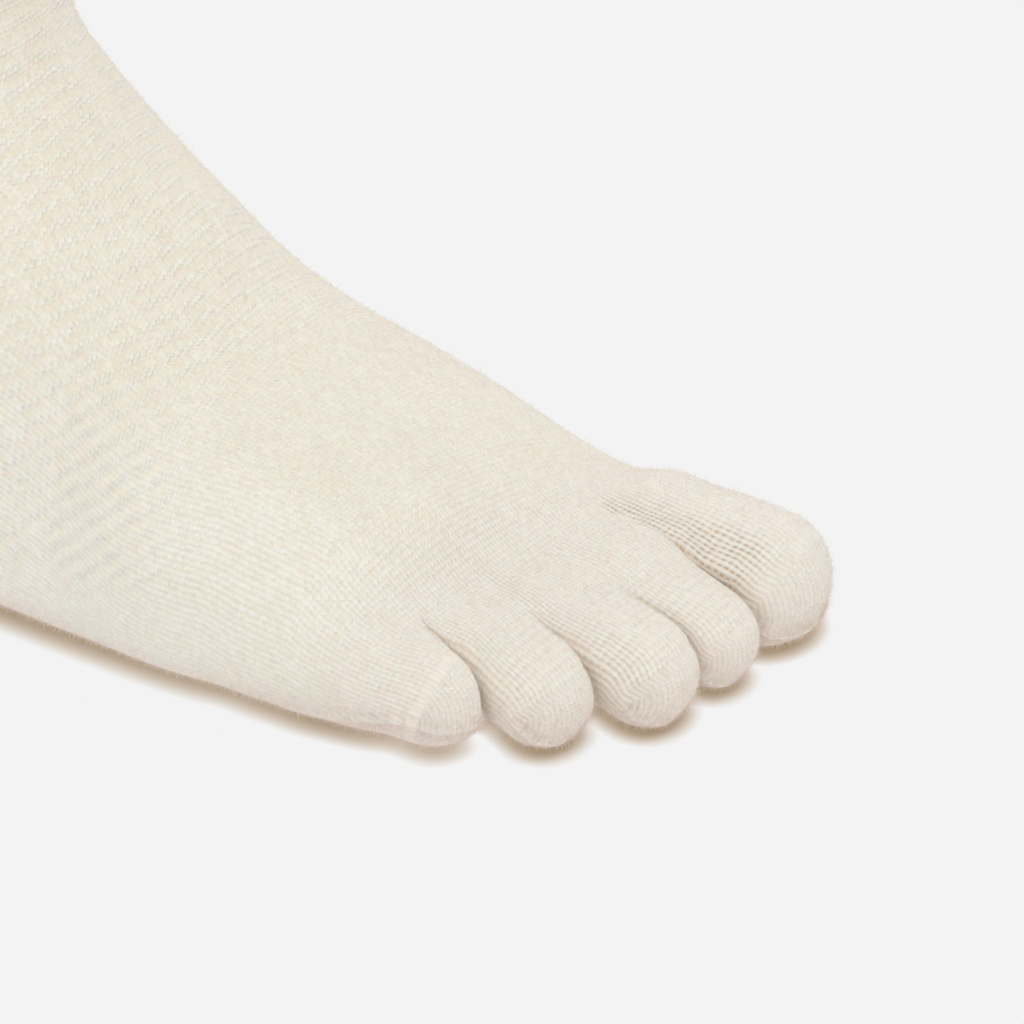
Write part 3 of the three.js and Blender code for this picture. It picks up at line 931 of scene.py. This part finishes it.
def add_node(tree, kind, inputs=None, take=0, **settings):
    """Adds a shader node with its settings and links, and returns one of its outputs."""
    made = tree.nodes.new("ShaderNode" + kind)
    made.location = (180 * len(tree.nodes), 0)
    for name, value in settings.items():
        setattr(made, name, value)
    for name, value in (inputs or {}).items():
        if isinstance(value, bpy.types.NodeSocket):
            tree.links.new(value, made.inputs[name])
        else:
            made.inputs[name].default_value = value
    return made.outputs[take] if len(made.outputs) else made


def mixed(tree, share, first, second):
    """A colour part of the way from the first to the second."""
    return add_node(tree, "Mix", {0: share, 6: first, 7: second}, take=2, data_type="RGBA")


def new_material(name):
    material = bpy.data.materials.new(name)
    material.use_nodes = True
    material.node_tree.nodes.clear()
    return material


def knit_material(name, colours):
    """Cream cotton in a fine plain knit. Each wale is a soft ridge of V-shaped stitches about 1.1 mm
    wide, matt, a little fuzzy and warm where the cloth shades itself. Where it is stretched between
    the toes the wales stand apart, with small gaps crossed by single yarns."""
    material = new_material(name)
    tree = material.node_tree
    knit = add_node(tree, "UVMap", uv_map="knit")
    wale = add_node(tree, "SeparateXYZ", {0: knit})
    course = wale.node.outputs[1]
    place = add_node(tree, "TexCoord", take=3)
    clear = add_node(tree, "Attribute", attribute_name="clear", take=2)
    ladder = add_node(tree, "Attribute", attribute_name="ladder", take=2)
    waffle = add_node(tree, "Attribute", attribute_name="waffle", take=2)
    seam = add_node(tree, "Attribute", attribute_name="seam", take=2)
    seamed = add_node(tree, "Attribute", attribute_name="seamed", take=2)

    # Wales that are pulled apart wander a little
    stray = add_node(tree, "TexNoise", {"Vector": place, "Scale": 190.0, "Detail": 1.0})
    stray = add_node(tree, "MapRange", {0: stray, 3: -0.6, 4: 0.6})
    strayed = add_node(tree, "Math", {0: stray, 1: ladder, 2: wale}, operation="MULTIPLY_ADD")
    # How far from the wale's ridge, from 0 to 1 in the gap between two wales
    half = add_node(tree, "Math", {0: strayed, 1: 0.5}, operation="PINGPONG")
    aside = add_node(tree, "Math", {0: half, 1: 2.0}, operation="MULTIPLY")
    steep = add_node(tree, "Math", {0: aside, 1: 1.6}, operation="POWER")
    ridge = add_node(tree, "Math", {0: 1.0, 1: steep}, operation="SUBTRACT")
    # The stitches' two legs slope away from the ridge, so the courses' lines are Vs
    lagging = add_node(tree, "Math", {0: aside, 1: 0.5, 2: course}, operation="MULTIPLY_ADD")
    half = add_node(tree, "Math", {0: lagging, 1: 0.5}, operation="PINGPONG")
    edge = add_node(tree, "Math", {0: half, 1: 2.0}, operation="MULTIPLY")
    stitch = add_node(tree, "Math", {0: edge, 1: edge}, operation="MULTIPLY")

    # Each stitch's leg is lit a little differently
    legs = add_node(tree, "Math", {0: wale, 1: 2.0}, operation="MULTIPLY")
    legs = add_node(tree, "Math", {0: legs}, operation="FLOOR")
    rows = add_node(tree, "Math", {0: lagging, 1: 0.5}, operation="ADD")
    rows = add_node(tree, "Math", {0: rows}, operation="FLOOR")
    cell = add_node(tree, "CombineXYZ", {0: legs, 1: rows})
    chance = add_node(tree, "TexWhiteNoise", {0: cell}, noise_dimensions="2D")

    # The waffle's bands, broken into blocks of a few wales
    band = add_node(tree, "Attribute", attribute_name="band", take=2)
    block = add_node(tree, "Attribute", attribute_name="block", take=2)
    block = add_node(tree, "Math", {0: block}, operation="SINE")
    band = add_node(tree, "Math", {0: block, 1: 0.3, 2: band}, operation="MULTIPLY_ADD")
    band = add_node(tree, "Math", {0: band}, operation="SINE")
    faint = add_node(tree, "Math", {0: block, 1: 0.3, 2: 0.7}, operation="MULTIPLY_ADD")
    band = add_node(tree, "Math", {0: band, 1: faint}, operation="MULTIPLY")
    raised = add_node(tree, "Math", {0: band, 1: waffle}, operation="MULTIPLY")
    # The raised bands carry the plainest stitches, and the sunken ones are smoother
    plain = add_node(tree, "Math", {0: raised, 1: 0.8, 2: 1.0}, operation="MULTIPLY_ADD")

    # The pull apart is uneven from wale to wale
    uneven = add_node(tree, "TexNoise", {"Vector": place, "Scale": 260.0, "Detail": 1.0})
    uneven = add_node(tree, "MapRange", {0: uneven, 1: 0.3, 2: 0.7, 3: 0.45, 4: 1.15})
    pulled = add_node(tree, "Math", {0: ladder, 1: uneven}, operation="MULTIPLY")
    # Gaps between wales that are pulled apart: wide in the middle of each course
    gap = add_node(tree, "MapRange", {0: aside, 1: 0.42, 2: 0.92}, interpolation_type="SMOOTHSTEP")
    half = add_node(tree, "Math", {0: course, 1: 0.5}, operation="PINGPONG")
    between = add_node(tree, "MapRange", {0: half, 1: 0.08, 2: 0.34}, interpolation_type="SMOOTHSTEP")
    between = add_node(tree, "Math", {0: between, 1: 0.72, 2: 0.28}, operation="MULTIPLY_ADD")
    hole = add_node(tree, "Math", {0: gap, 1: between}, operation="MULTIPLY")
    hole = add_node(tree, "Math", {0: hole, 1: pulled}, operation="MULTIPLY", use_clamp=True)
    taut = add_node(tree, "MapRange", {0: aside, 1: 0.5, 2: 0.1}, interpolation_type="SMOOTHSTEP")
    taut = add_node(tree, "Math", {0: taut, 1: ladder}, operation="MULTIPLY")

    # The seam that closes a toe is a low ridge, and the cloth on its sole side a shade pinker
    off_seam = add_node(tree, "Math", {0: seam}, operation="ABSOLUTE")
    welt = add_node(tree, "MapRange", {0: off_seam, 1: 1.1, 2: 0.1}, interpolation_type="SMOOTHSTEP")
    welt = add_node(tree, "Math", {0: welt, 1: seamed}, operation="MULTIPLY")
    under = add_node(tree, "MapRange", {0: seam, 1: 0.2, 2: -0.8}, interpolation_type="SMOOTHSTEP")
    under = add_node(tree, "Math", {0: under, 1: seamed}, operation="MULTIPLY")

    # Height in millimetres
    soft = add_node(tree, "Math", {0: clear, 1: 0.11, 2: 0.05}, operation="MULTIPLY_ADD")
    height = add_node(tree, "Math", {0: ridge, 1: soft}, operation="MULTIPLY")
    height = add_node(tree, "Math", {0: stitch, 1: 0.08, 2: height}, operation="MULTIPLY_ADD")
    height = add_node(tree, "Math", {0: chance, 1: 0.08, 2: height}, operation="MULTIPLY_ADD")
    height = add_node(tree, "Math", {0: height, 1: plain}, operation="MULTIPLY")
    height = add_node(tree, "Math", {0: raised, 1: 0.06, 2: height}, operation="MULTIPLY_ADD")
    height = add_node(tree, "Math", {0: taut, 1: 0.08, 2: height}, operation="MULTIPLY_ADD")
    height = add_node(tree, "Math", {0: hole, 1: -0.13, 2: height}, operation="MULTIPLY_ADD")
    height = add_node(tree, "Math", {0: welt, 1: 0.3, 2: height}, operation="MULTIPLY_ADD")
    # Loose hairs matted on the surface, about 0.7 mm long
    hairs = add_node(tree, "TexNoise", {"Vector": place, "Scale": 1400.0, "Detail": 3.0, "Roughness": 0.6})
    height = add_node(tree, "Math", {0: hairs, 1: 0.16, 2: height}, operation="MULTIPLY_ADD")
    normal = add_node(tree, "Bump", {"Height": height, "Distance": MM, "Strength": 1.0})

    # Colour: painted highlight on the ridges, painted shade in the gaps, painted brown shade of the sock's
    # inside in the holes, and a real tone uneven over larger patches
    lit = add_node(tree, "Math", {0: clear, 1: 0.8}, operation="MULTIPLY")
    lit = add_node(tree, "Math", {0: ridge, 1: lit}, operation="MULTIPLY")
    lit = add_node(tree, "Math", {0: chance, 1: 0.65, 2: lit}, operation="MULTIPLY_ADD")
    patches = add_node(tree, "TexNoise", {"Vector": place, "Scale": 60.0, "Detail": 2.0})
    lit = add_node(tree, "Math", {0: patches, 1: 0.4, 2: lit}, operation="MULTIPLY_ADD")
    # Painted highlight, too, on the waffle's raised bands, on the wales pulled tight beside the holes and on
    # the toes' seam ridges
    lit = add_node(tree, "Math", {0: raised, 1: 0.36, 2: lit}, operation="MULTIPLY_ADD")
    lit = add_node(tree, "Math", {0: taut, 1: 0.5, 2: lit}, operation="MULTIPLY_ADD")
    lit = add_node(tree, "Math", {0: welt, 1: 0.6, 2: lit}, operation="MULTIPLY_ADD")
    share = add_node(tree, "MapRange", {0: lit, 1: 0.0, 2: 1.4})
    colour = mixed(tree, share, tuple(colours.recess_shade), tuple(colours.yarn))
    # The sole side of each toe's seam is pinker, and the cloth low down near the floor takes the same colour
    # as painted shade
    blush = add_node(tree, "Attribute", attribute_name="blush", take=2)
    blush = add_node(tree, "Math", {0: under, 1: blush}, operation="MAXIMUM")
    colour = mixed(tree, blush, colour, tuple(colours.sole_side_and_floor_shade))
    # Painted shade in the holes: the brown of the sock's dark inside seen through them
    worn = add_node(tree, "Math", {0: hole, 1: 0.62}, operation="MULTIPLY")
    colour = mixed(tree, worn, colour, tuple(colours.gap))
    shader = add_node(
        tree,
        "BsdfPrincipled",
        {
            "Base Color": colour,
            "Roughness": 0.95,
            "Specular IOR Level": 0.12,
            "Subsurface Weight": 0.35,
            "Subsurface Radius": (1.0, 0.55, 0.35),
            "Subsurface Scale": 0.0016,
            "Sheen Weight": 0.2,
            "Sheen Roughness": 0.6,
            "Sheen Tint": linear("#f3e2df"),
            "Normal": normal,
        },
    )
    add_node(tree, "OutputMaterial", {"Surface": shader})
    return material


def fuzz_material(colours):
    """Single cotton fibres that have worked loose: matt, pale, and pinkish grey where they overlap."""
    material = new_material("loose_cotton_fibres")
    tree = material.node_tree
    fibre = {"Base Color": tuple(colours.fibre), "Roughness": 1.0, "Specular IOR Level": 0.1}
    shader = add_node(tree, "BsdfPrincipled", fibre)
    add_node(tree, "OutputMaterial", {"Surface": shader})
    return material


def finished(name, bm, material):
    """Makes a bmesh an object with its material, in the scene."""
    mesh = bpy.data.meshes.new(name)
    bm.to_mesh(mesh)
    bm.free()
    return shown(mesh, material)


def shown(mesh, material, smooth=True):
    """Puts a mesh in the scene as an object with its material."""
    piece = bpy.data.objects.new(mesh.name, mesh)
    bpy.context.scene.collection.objects.link(piece)
    mesh.materials.append(material)
    for polygon in mesh.polygons:
        polygon.use_smooth = smooth
    return piece


def places_of(mesh):
    """A mesh's vertices in millimetres in the foot's frame."""
    flat = np.zeros(len(mesh.vertices) * 3)
    mesh.vertices.foreach_get("co", flat)
    return flat.reshape(-1, 3) / MM + ORIGIN


def toe_of(places):
    """The nearest toe to each place, the angle round its line in degrees, and how far ahead it is."""
    depths = np.array([toe_distance(places, toe) for toe in TOES])
    number = np.argmin(depths, axis=0)
    ahead = beyond_line(places, TOE_ROOT)
    angle = np.zeros(len(places))
    for i, toe in enumerate(TOES):
        mine = np.flatnonzero(number == i)
        line = np.array([toe_line_at(toe, max(a, 0.0)) for a in ahead[mine]]).reshape(-1, 3)
        offset = places[mine] - line
        angle[mine] = np.degrees(np.arctan2(offset[:, 2], offset @ ROOT_ACROSS)) % 360
    return number, angle, ahead


def write_values(mesh, **values):
    for name, value in values.items():
        numbers = np.broadcast_to(value, len(mesh.vertices)).astype(np.float32)
        mesh.attributes.new(name, "FLOAT", "POINT").data.foreach_set("value", numbers)


def mark_cloth(mesh):
    """Writes where the wales show clearly, where they are pulled apart, where the waffle is, how far each
    place lies above the seam that closes its toe, and where the cloth is pinker, with painted shade near the
    floor."""
    places = places_of(mesh)
    number, angle, ahead = toe_of(places)
    x, y, z = places.T
    on_toe = smooth_step(ahead, 2, 12)
    tip_ahead = np.array([float(beyond_line(np.array(toe["line"][2][:3]), TOE_ROOT)) for toe in TOES])[number]
    side = smooth_step(angle, *LADDER_TOP) * (1 - smooth_step(angle, *LADDER_BOTTOM))
    near_tip = 1 - smooth_step(ahead - tip_ahead, *LADDER_TIP)
    after_root = smooth_step(ahead, *LADDER_ROOT)
    strength = np.array(LADDER_STRENGTHS)[number]
    lateral = 1 - smooth_step(y + 20 + (z - 20) * 0.4, -14, 10)
    seam, seamed = seam_of(places, number)
    low = 1 - smooth_step(z, 3, 15)
    write_values(
        mesh,
        ladder=strength * side * near_tip * after_root,
        clear=np.clip(0.25 + 0.5 * lateral * (1 - on_toe) + 0.6 * on_toe, 0, 1),
        band=2 * math.pi * (places @ WAFFLE_WAY) / WAFFLE_PITCH,
        block=2 * math.pi * (places @ WAFFLE_ALONG) / WAFFLE_BLOCK,
        waffle=smooth_step(x, 70, 92) * (1 - smooth_step(x, 128, 156)) * smooth_step(z, 16, 30),
        seam=seam,
        seamed=seamed,
        # Pink on the toes, with painted shade low down near the floor
        blush=0.65 * low + 0.25 * on_toe * (1 - low),
    )


def seam_of(places, number):
    """How far each place lies above its toe's seam, and whether it is on the tip. The little toe's
    seam runs on a little way down the outer side of the foot."""
    above = np.zeros(len(places))
    on_tip = np.zeros(len(places))
    for i in range(len(TOES)):
        mine = np.flatnonzero(number == i)
        tip, to_seam, _, up = tip_frame(i)
        above[mine] = (places[mine] - tip) @ up
        on_tip[mine] = smooth_step((places[mine] - tip) @ to_seam, 0, 3)
    x, y, z = places.T
    outer = (number == len(TOES) - 1) & (on_tip < 0.5) & (y < TOES[-1]["line"][2][1])
    above = np.where(outer, z - np.interp(x, *OUTER_SEAM), above)
    return above, np.where(outer, smooth_step(x, 158, 176), on_tip)


def settled(points):
    """Points moved on to the sock's surface."""
    nudges = np.eye(3) * SETTLING_NUDGE
    for _ in range(SETTLING_ROUNDS):
        distance = sock_distance(points)
        slope = np.stack([sock_distance(points + n) - sock_distance(points - n) for n in nudges], axis=-1)
        points = points - unit(slope) * distance[:, None]
    return points


def crease_depths(places):
    """How deep the listed creases are at each place, in millimetres."""
    depths = np.zeros(len(places))
    along = np.linspace(-1, 1, CREASE_POINTS + 1)
    for line, depth, width in CREASES:
        points = settled(even_strip(np.array(line, float), CREASE_POINTS))
        ends = 1 - smooth_step(np.abs(along), 0.35, 1)
        apart = np.linalg.norm(places[:, None, :] - points[None, :, :], axis=2)
        depths += depth * np.max(ends * np.exp(-((apart / width) ** 2)), axis=1)
    return depths


def shape_cloth(mesh):
    """Presses the creases into the cloth and lifts the sole side of each toe's seam."""
    places = places_of(mesh)
    normals = np.zeros(len(places) * 3)
    mesh.vertex_normals.foreach_get("vector", normals)
    above, on_tip = seam_of(places, toe_of(places)[0])
    lift = SOLE_SIDE_LIFT * on_tip * smooth_step(-above, -1.5, 1.5) * (1 - smooth_step(-above, 3, 8))
    lift += SEAM_RIDGE[0] * on_tip * np.exp(-((above / SEAM_RIDGE[1]) ** 2))
    moved = places + normals.reshape(-1, 3) * (lift - crease_depths(places))[:, None]
    mesh.vertices.foreach_set("co", ((moved - ORIGIN) * MM).ravel())
    mesh.update()


def fibre_needle():
    """One thin closed needle from the origin along z, as the arrays of its points and faces."""
    bm = bmesh.new()
    bmesh.ops.create_cone(bm, cap_ends=True, segments=3, radius1=0.5, radius2=0, depth=1)
    bmesh.ops.translate(bm, verts=bm.verts, vec=(0, 0, 0.5))
    bm.verts.index_update()
    points = np.array([vert.co for vert in bm.verts])
    faces = np.array([[vert.index for vert in face.verts] for face in bm.faces])
    bm.free()
    return points, faces


def fuzz_mesh(name, sizes, count, cloth, seed, on_toes):
    """Loose fibres on the cloth, as many small needles in one mesh, either all over it or on the toes
    and the lower edge. They are longest along the sock's lower edge and closest together along the
    toes' seams, and the hidden rear has fewer."""
    rng = np.random.default_rng(seed)
    cloth.calc_loop_triangles()
    corners = np.zeros(len(cloth.loop_triangles) * 3, dtype=np.int32)
    cloth.loop_triangles.foreach_get("vertices", corners)
    places = places_of(cloth)[corners.reshape(-1, 3)]
    square = np.cross(places[:, 1] - places[:, 0], places[:, 2] - places[:, 0])
    middle = places.mean(axis=1)
    low = 1 - smooth_step(middle[:, 2], 6, 18)
    front = 0.15 + 0.85 * smooth_step(middle[:, 0], 60, 90)
    weight = np.linalg.norm(square, axis=1) * front * (1 + low) * smooth_step(middle[:, 2], 0.2, 1.5)
    if on_toes:
        number, _, ahead = toe_of(middle)
        above, on_tip = seam_of(middle, number)
        by_seam = 1 + SEAM_FUZZ * on_tip * (1 - smooth_step(np.abs(above), 1, 3))
        weight *= np.maximum(smooth_step(ahead, 2, 14) * by_seam, 3 * low)
    chosen = rng.choice(len(places), count, p=weight / weight.sum())
    shares = rng.dirichlet((1, 1, 1), count)
    roots = np.einsum("nk,nkc->nc", shares, places[chosen])
    outward = unit(square[chosen])
    loose = unit(rng.normal(size=(count, 3)))
    ways = unit(outward * rng.uniform(0.1, 0.9, (count, 1)) + loose * 0.6)
    ways = unit(ways + outward * np.maximum(0.15 - np.sum(ways * outward, axis=1), 0)[:, None])
    length = sizes.fibre_length * rng.gamma(5, 1 / 5, count) * (1 + 0.3 * low[chosen])
    side = unit(np.cross(ways, loose + 0.01))
    other = np.cross(ways, side)
    points, faces = fibre_needle()
    width = sizes.fibre_width * points[None, :, :2, None]
    roots = (roots - ORIGIN) * MM
    along = ways[:, None, :] * length[:, None, None] * points[None, :, 2:]
    made = roots[:, None, :] + along + side[:, None, :] * width[:, :, 0] + other[:, None, :] * width[:, :, 1]
    made[..., 2] = np.maximum(made[..., 2], CAD_BOX[0].z)
    faces = faces[None, :, :] + len(points) * np.arange(count)[:, None, None]
    mesh = bpy.data.meshes.new(name)
    mesh.from_pydata(made.reshape(-1, 3).tolist(), [], faces.reshape(-1, 3).tolist())
    return mesh


class SockSizes(bpy.types.PropertyGroup):
    """Sizes of the sock's cloth."""

    cloth_wall: bpy.props.FloatProperty(
        name="Cloth wall",
        description="Thickness of the body's cloth",
        default=0.0011,
        unit="LENGTH",
        subtype="DISTANCE",
    )
    cuff_wall: bpy.props.FloatProperty(
        name="Cuff wall",
        description="Thickness of the cuff's cloth between its ribs",
        default=0.0015,
        unit="LENGTH",
        subtype="DISTANCE",
    )
    rib_count: bpy.props.IntProperty(
        name="Ribs",
        description="Number of ribs round the cuff",
        default=48,
        min=12,
    )
    rib_depth: bpy.props.FloatProperty(
        name="Rib depth",
        description="How far a rib stands out of the cuff",
        default=0.0007,
        unit="LENGTH",
        subtype="DISTANCE",
    )
    fibre_count: bpy.props.IntProperty(
        name="Fibres",
        description="Number of loose fibres on the cloth",
        default=49000,
        min=1,
    )
    toe_fibre_count: bpy.props.IntProperty(
        name="Fibres on the toes",
        description="Number of further loose fibres on the toes and the lower edge",
        default=40000,
        min=1,
    )
    fibre_width: bpy.props.FloatProperty(
        name="Fibre width",
        description="Width of a loose fibre at its root",
        default=0.00006,
        unit="LENGTH",
        subtype="DISTANCE",
    )
    fibre_length: bpy.props.FloatProperty(
        name="Fibre length",
        description="Length of a usual loose fibre",
        default=0.0008,
        unit="LENGTH",
        subtype="DISTANCE",
    )


def yarn_colour(name, description, code):
    return bpy.props.FloatVectorProperty(
        name=name,
        description=description,
        default=linear(code),
        size=4,
        subtype="COLOR",
    )


class SockColours(bpy.types.PropertyGroup):
    """Colours of the yarn."""

    yarn: yarn_colour("Yarn", "Colour of the yarn on the stitches' ridges", "#fbf6ec")
    # Painted shade between the stitches
    recess_shade: yarn_colour("Recess", "Colour between the stitches", "#ede3d0")
    # Also painted shade, pinker and darker, low down near the floor
    sole_side_and_floor_shade: yarn_colour("Sole side", "Colour under the toes' seams", "#f0e2d8")
    # Painted shade: the sock's dark inside seen through the gaps
    gap: yarn_colour("Gap", "Colour in the gaps between wales that are pulled apart", "#c09a70")
    fibre: yarn_colour("Fibre", "Colour of the loose fibres", "#e6d7cd")


class SOCK_OT_knit_body(bpy.types.Operator):
    """Knit the leg, the heel, the foot and the five toes as one cloth"""

    bl_idname = "sock.knit_body"
    bl_label = "Knit the body"

    def execute(self, context):
        scene = context.scene
        material = knit_material("cream_cotton_plain_knit", scene.sock_colours)
        piece = finished("knit_body", knit_body_mesh(), material)
        mark_cloth(piece.data)
        shape_cloth(piece.data)
        wall = piece.modifiers.new("wall", "SOLIDIFY")
        wall.thickness = scene.sock_sizes.cloth_wall
        wall.offset = -1
        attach(piece, "root")
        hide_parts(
            "leg", "heel", "foot", "toe_big", "toe_second", "toe_third", "toe_fourth", "toe_little"
        )
        return {"FINISHED"}


class SOCK_OT_knit_cuff(bpy.types.Operator):
    """Knit the ribbed cuff"""

    bl_idname = "sock.knit_cuff"
    bl_label = "Knit the cuff"

    def execute(self, context):
        scene = context.scene
        material = knit_material("cream_cotton_rib", scene.sock_colours)
        piece = finished("knit_cuff", knit_cuff_mesh(scene.sock_sizes), material)
        write_values(piece.data, clear=0.7)
        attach(piece, "root")
        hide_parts("cuff")
        return {"FINISHED"}


class SOCK_OT_raise_fuzz(bpy.types.Operator):
    """Raise the loose fibres on the body's cloth"""

    bl_idname = "sock.raise_fuzz"
    bl_label = "Raise the fuzz"

    def execute(self, context):
        scene = context.scene
        cloth = bpy.data.objects["knit_body"].data
        material = fuzz_material(scene.sock_colours)
        sizes = scene.sock_sizes
        pieces = (("sock_fuzz", sizes.fibre_count, False), ("toe_fuzz", sizes.toe_fibre_count, True))
        for seed, (name, count, on_toes) in enumerate(pieces, FIBRE_SEED):
            mesh = fuzz_mesh(name, sizes, count, cloth, seed, on_toes)
            piece = shown(mesh, material, smooth=False)
            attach(piece, "root")
        return {"FINISHED"}


class SOCK_OT_set_studio(bpy.types.Operator):
    """Set the pale floor, the soft light and the camera"""

    bl_idname = "sock.set_studio"
    bl_label = "Set the studio"

    def execute(self, context):
        scene = context.scene
        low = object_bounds()[0].z
        bm = bmesh.new()
        bmesh.ops.create_grid(bm, x_segments=1, y_segments=1, size=FLOOR_REACH)
        bmesh.ops.translate(bm, verts=bm.verts, vec=(0, 0, low))
        floor = finished("floor", bm, floor_material())
        floor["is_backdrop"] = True
        world = bpy.data.worlds.new("studio")
        world.use_nodes = True
        world.node_tree.nodes["Background"].inputs["Color"].default_value = linear("#f3f3f3")
        world.node_tree.nodes["Background"].inputs["Strength"].default_value = SKY_STRENGTH
        scene.world = world
        light = bpy.data.lights.new("soft_key", "AREA")
        light.shape = "DISK"
        light.size = KEY_SIZE
        light.energy = KEY_WATTS
        key = bpy.data.objects.new("soft_key", light)
        key.location = KEY_PLACE
        key.rotation_euler = (Vector(KEY_TARGET) - key.location).to_track_quat("-Z", "Y").to_euler()
        scene.collection.objects.link(key)
        lens = bpy.data.cameras.new("camera")
        lens.lens = CAMERA_LENS
        lens.sensor_width = CAMERA_SENSOR
        lens.clip_end = CAMERA_REACH
        camera = bpy.data.objects.new("camera", lens)
        camera.location = (np.array(CAMERA_PLACE) - ORIGIN) * MM
        tilt, turn = math.radians(90 - CAMERA_ELEVATION), math.radians(CAMERA_AZIMUTH)
        camera.rotation_euler = Euler((tilt, 0, turn))
        scene.collection.objects.link(camera)
        scene.camera = camera
        scene.view_settings.view_transform = "Standard"
        return {"FINISHED"}


def floor_material():
    """Seamless pale paper that glows evenly, with a narrow brownish shadow painted into its glow where the
    sock comes close to it.
    """
    material = new_material("pale_studio_paper")
    tree = material.node_tree
    place = add_node(tree, "TexCoord", take=3)
    ahead = add_node(tree, "SeparateXYZ", {0: place})
    turn = {0: ahead, 1: SHADOW_TURN[0], 2: SHADOW_TURN[1], 3: SHADOW_REACHES[0], 4: SHADOW_REACHES[1]}
    wide = add_node(tree, "MapRange", turn, interpolation_type="SMOOTHSTEP")
    # Painted shadow: the glow turns brown wherever ambient occlusion finds the sock close above, within a
    # reach that narrows towards the toes
    near = add_node(tree, "AmbientOcclusion", {"Distance": wide}, take=1, samples=5)
    share = add_node(tree, "MapRange", {0: near, 1: 0.5, 2: 0.97})
    shadow_core = add_node(tree, "MapRange", {0: near, 1: 0.28, 2: 0.62})
    colour = mixed(tree, shadow_core, linear("#9c866a"), linear("#cdb9a1"))
    colour = mixed(tree, share, colour, linear("#f3f3f3"))
    glow = add_node(tree, "Emission", {"Color": colour, "Strength": 1.0})
    add_node(tree, "OutputMaterial", {"Surface": glow})
    return material


class SOCK_PT_panel(bpy.types.Panel):
    """Lists the sock's sizes, colours and steps"""

    bl_idname = "SOCK_PT_panel"
    bl_label = "Five-Toe Crew Sock"
    bl_space_type = "VIEW_3D"
    bl_region_type = "UI"
    bl_category = "Sock"

    def draw(self, context):
        layout = self.layout
        sizes, colours = context.scene.sock_sizes, context.scene.sock_colours
        for group in (sizes, colours):
            for name in group.__annotations__:
                layout.prop(group, name)
        for step in STEPS:
            layout.operator(step.bl_idname)


STEPS = (SOCK_OT_knit_body, SOCK_OT_knit_cuff, SOCK_OT_raise_fuzz, SOCK_OT_set_studio)
CLASSES = (SockSizes, SockColours, *STEPS, SOCK_PT_panel)


def register():
    for cls in CLASSES:
        bpy.utils.register_class(cls)
    bpy.types.Scene.sock_sizes = bpy.props.PointerProperty(type=SockSizes)
    bpy.types.Scene.sock_colours = bpy.props.PointerProperty(type=SockColours)


def unregister():
    del bpy.types.Scene.sock_colours
    del bpy.types.Scene.sock_sizes
    for cls in reversed(CLASSES):
        bpy.utils.unregister_class(cls)


def main():
    register()
    bpy.ops.sock.knit_body()
    bpy.ops.sock.knit_cuff()
    bpy.ops.sock.raise_fuzz()
    bpy.ops.sock.set_studio()


if __name__ == "__main__":
    main()
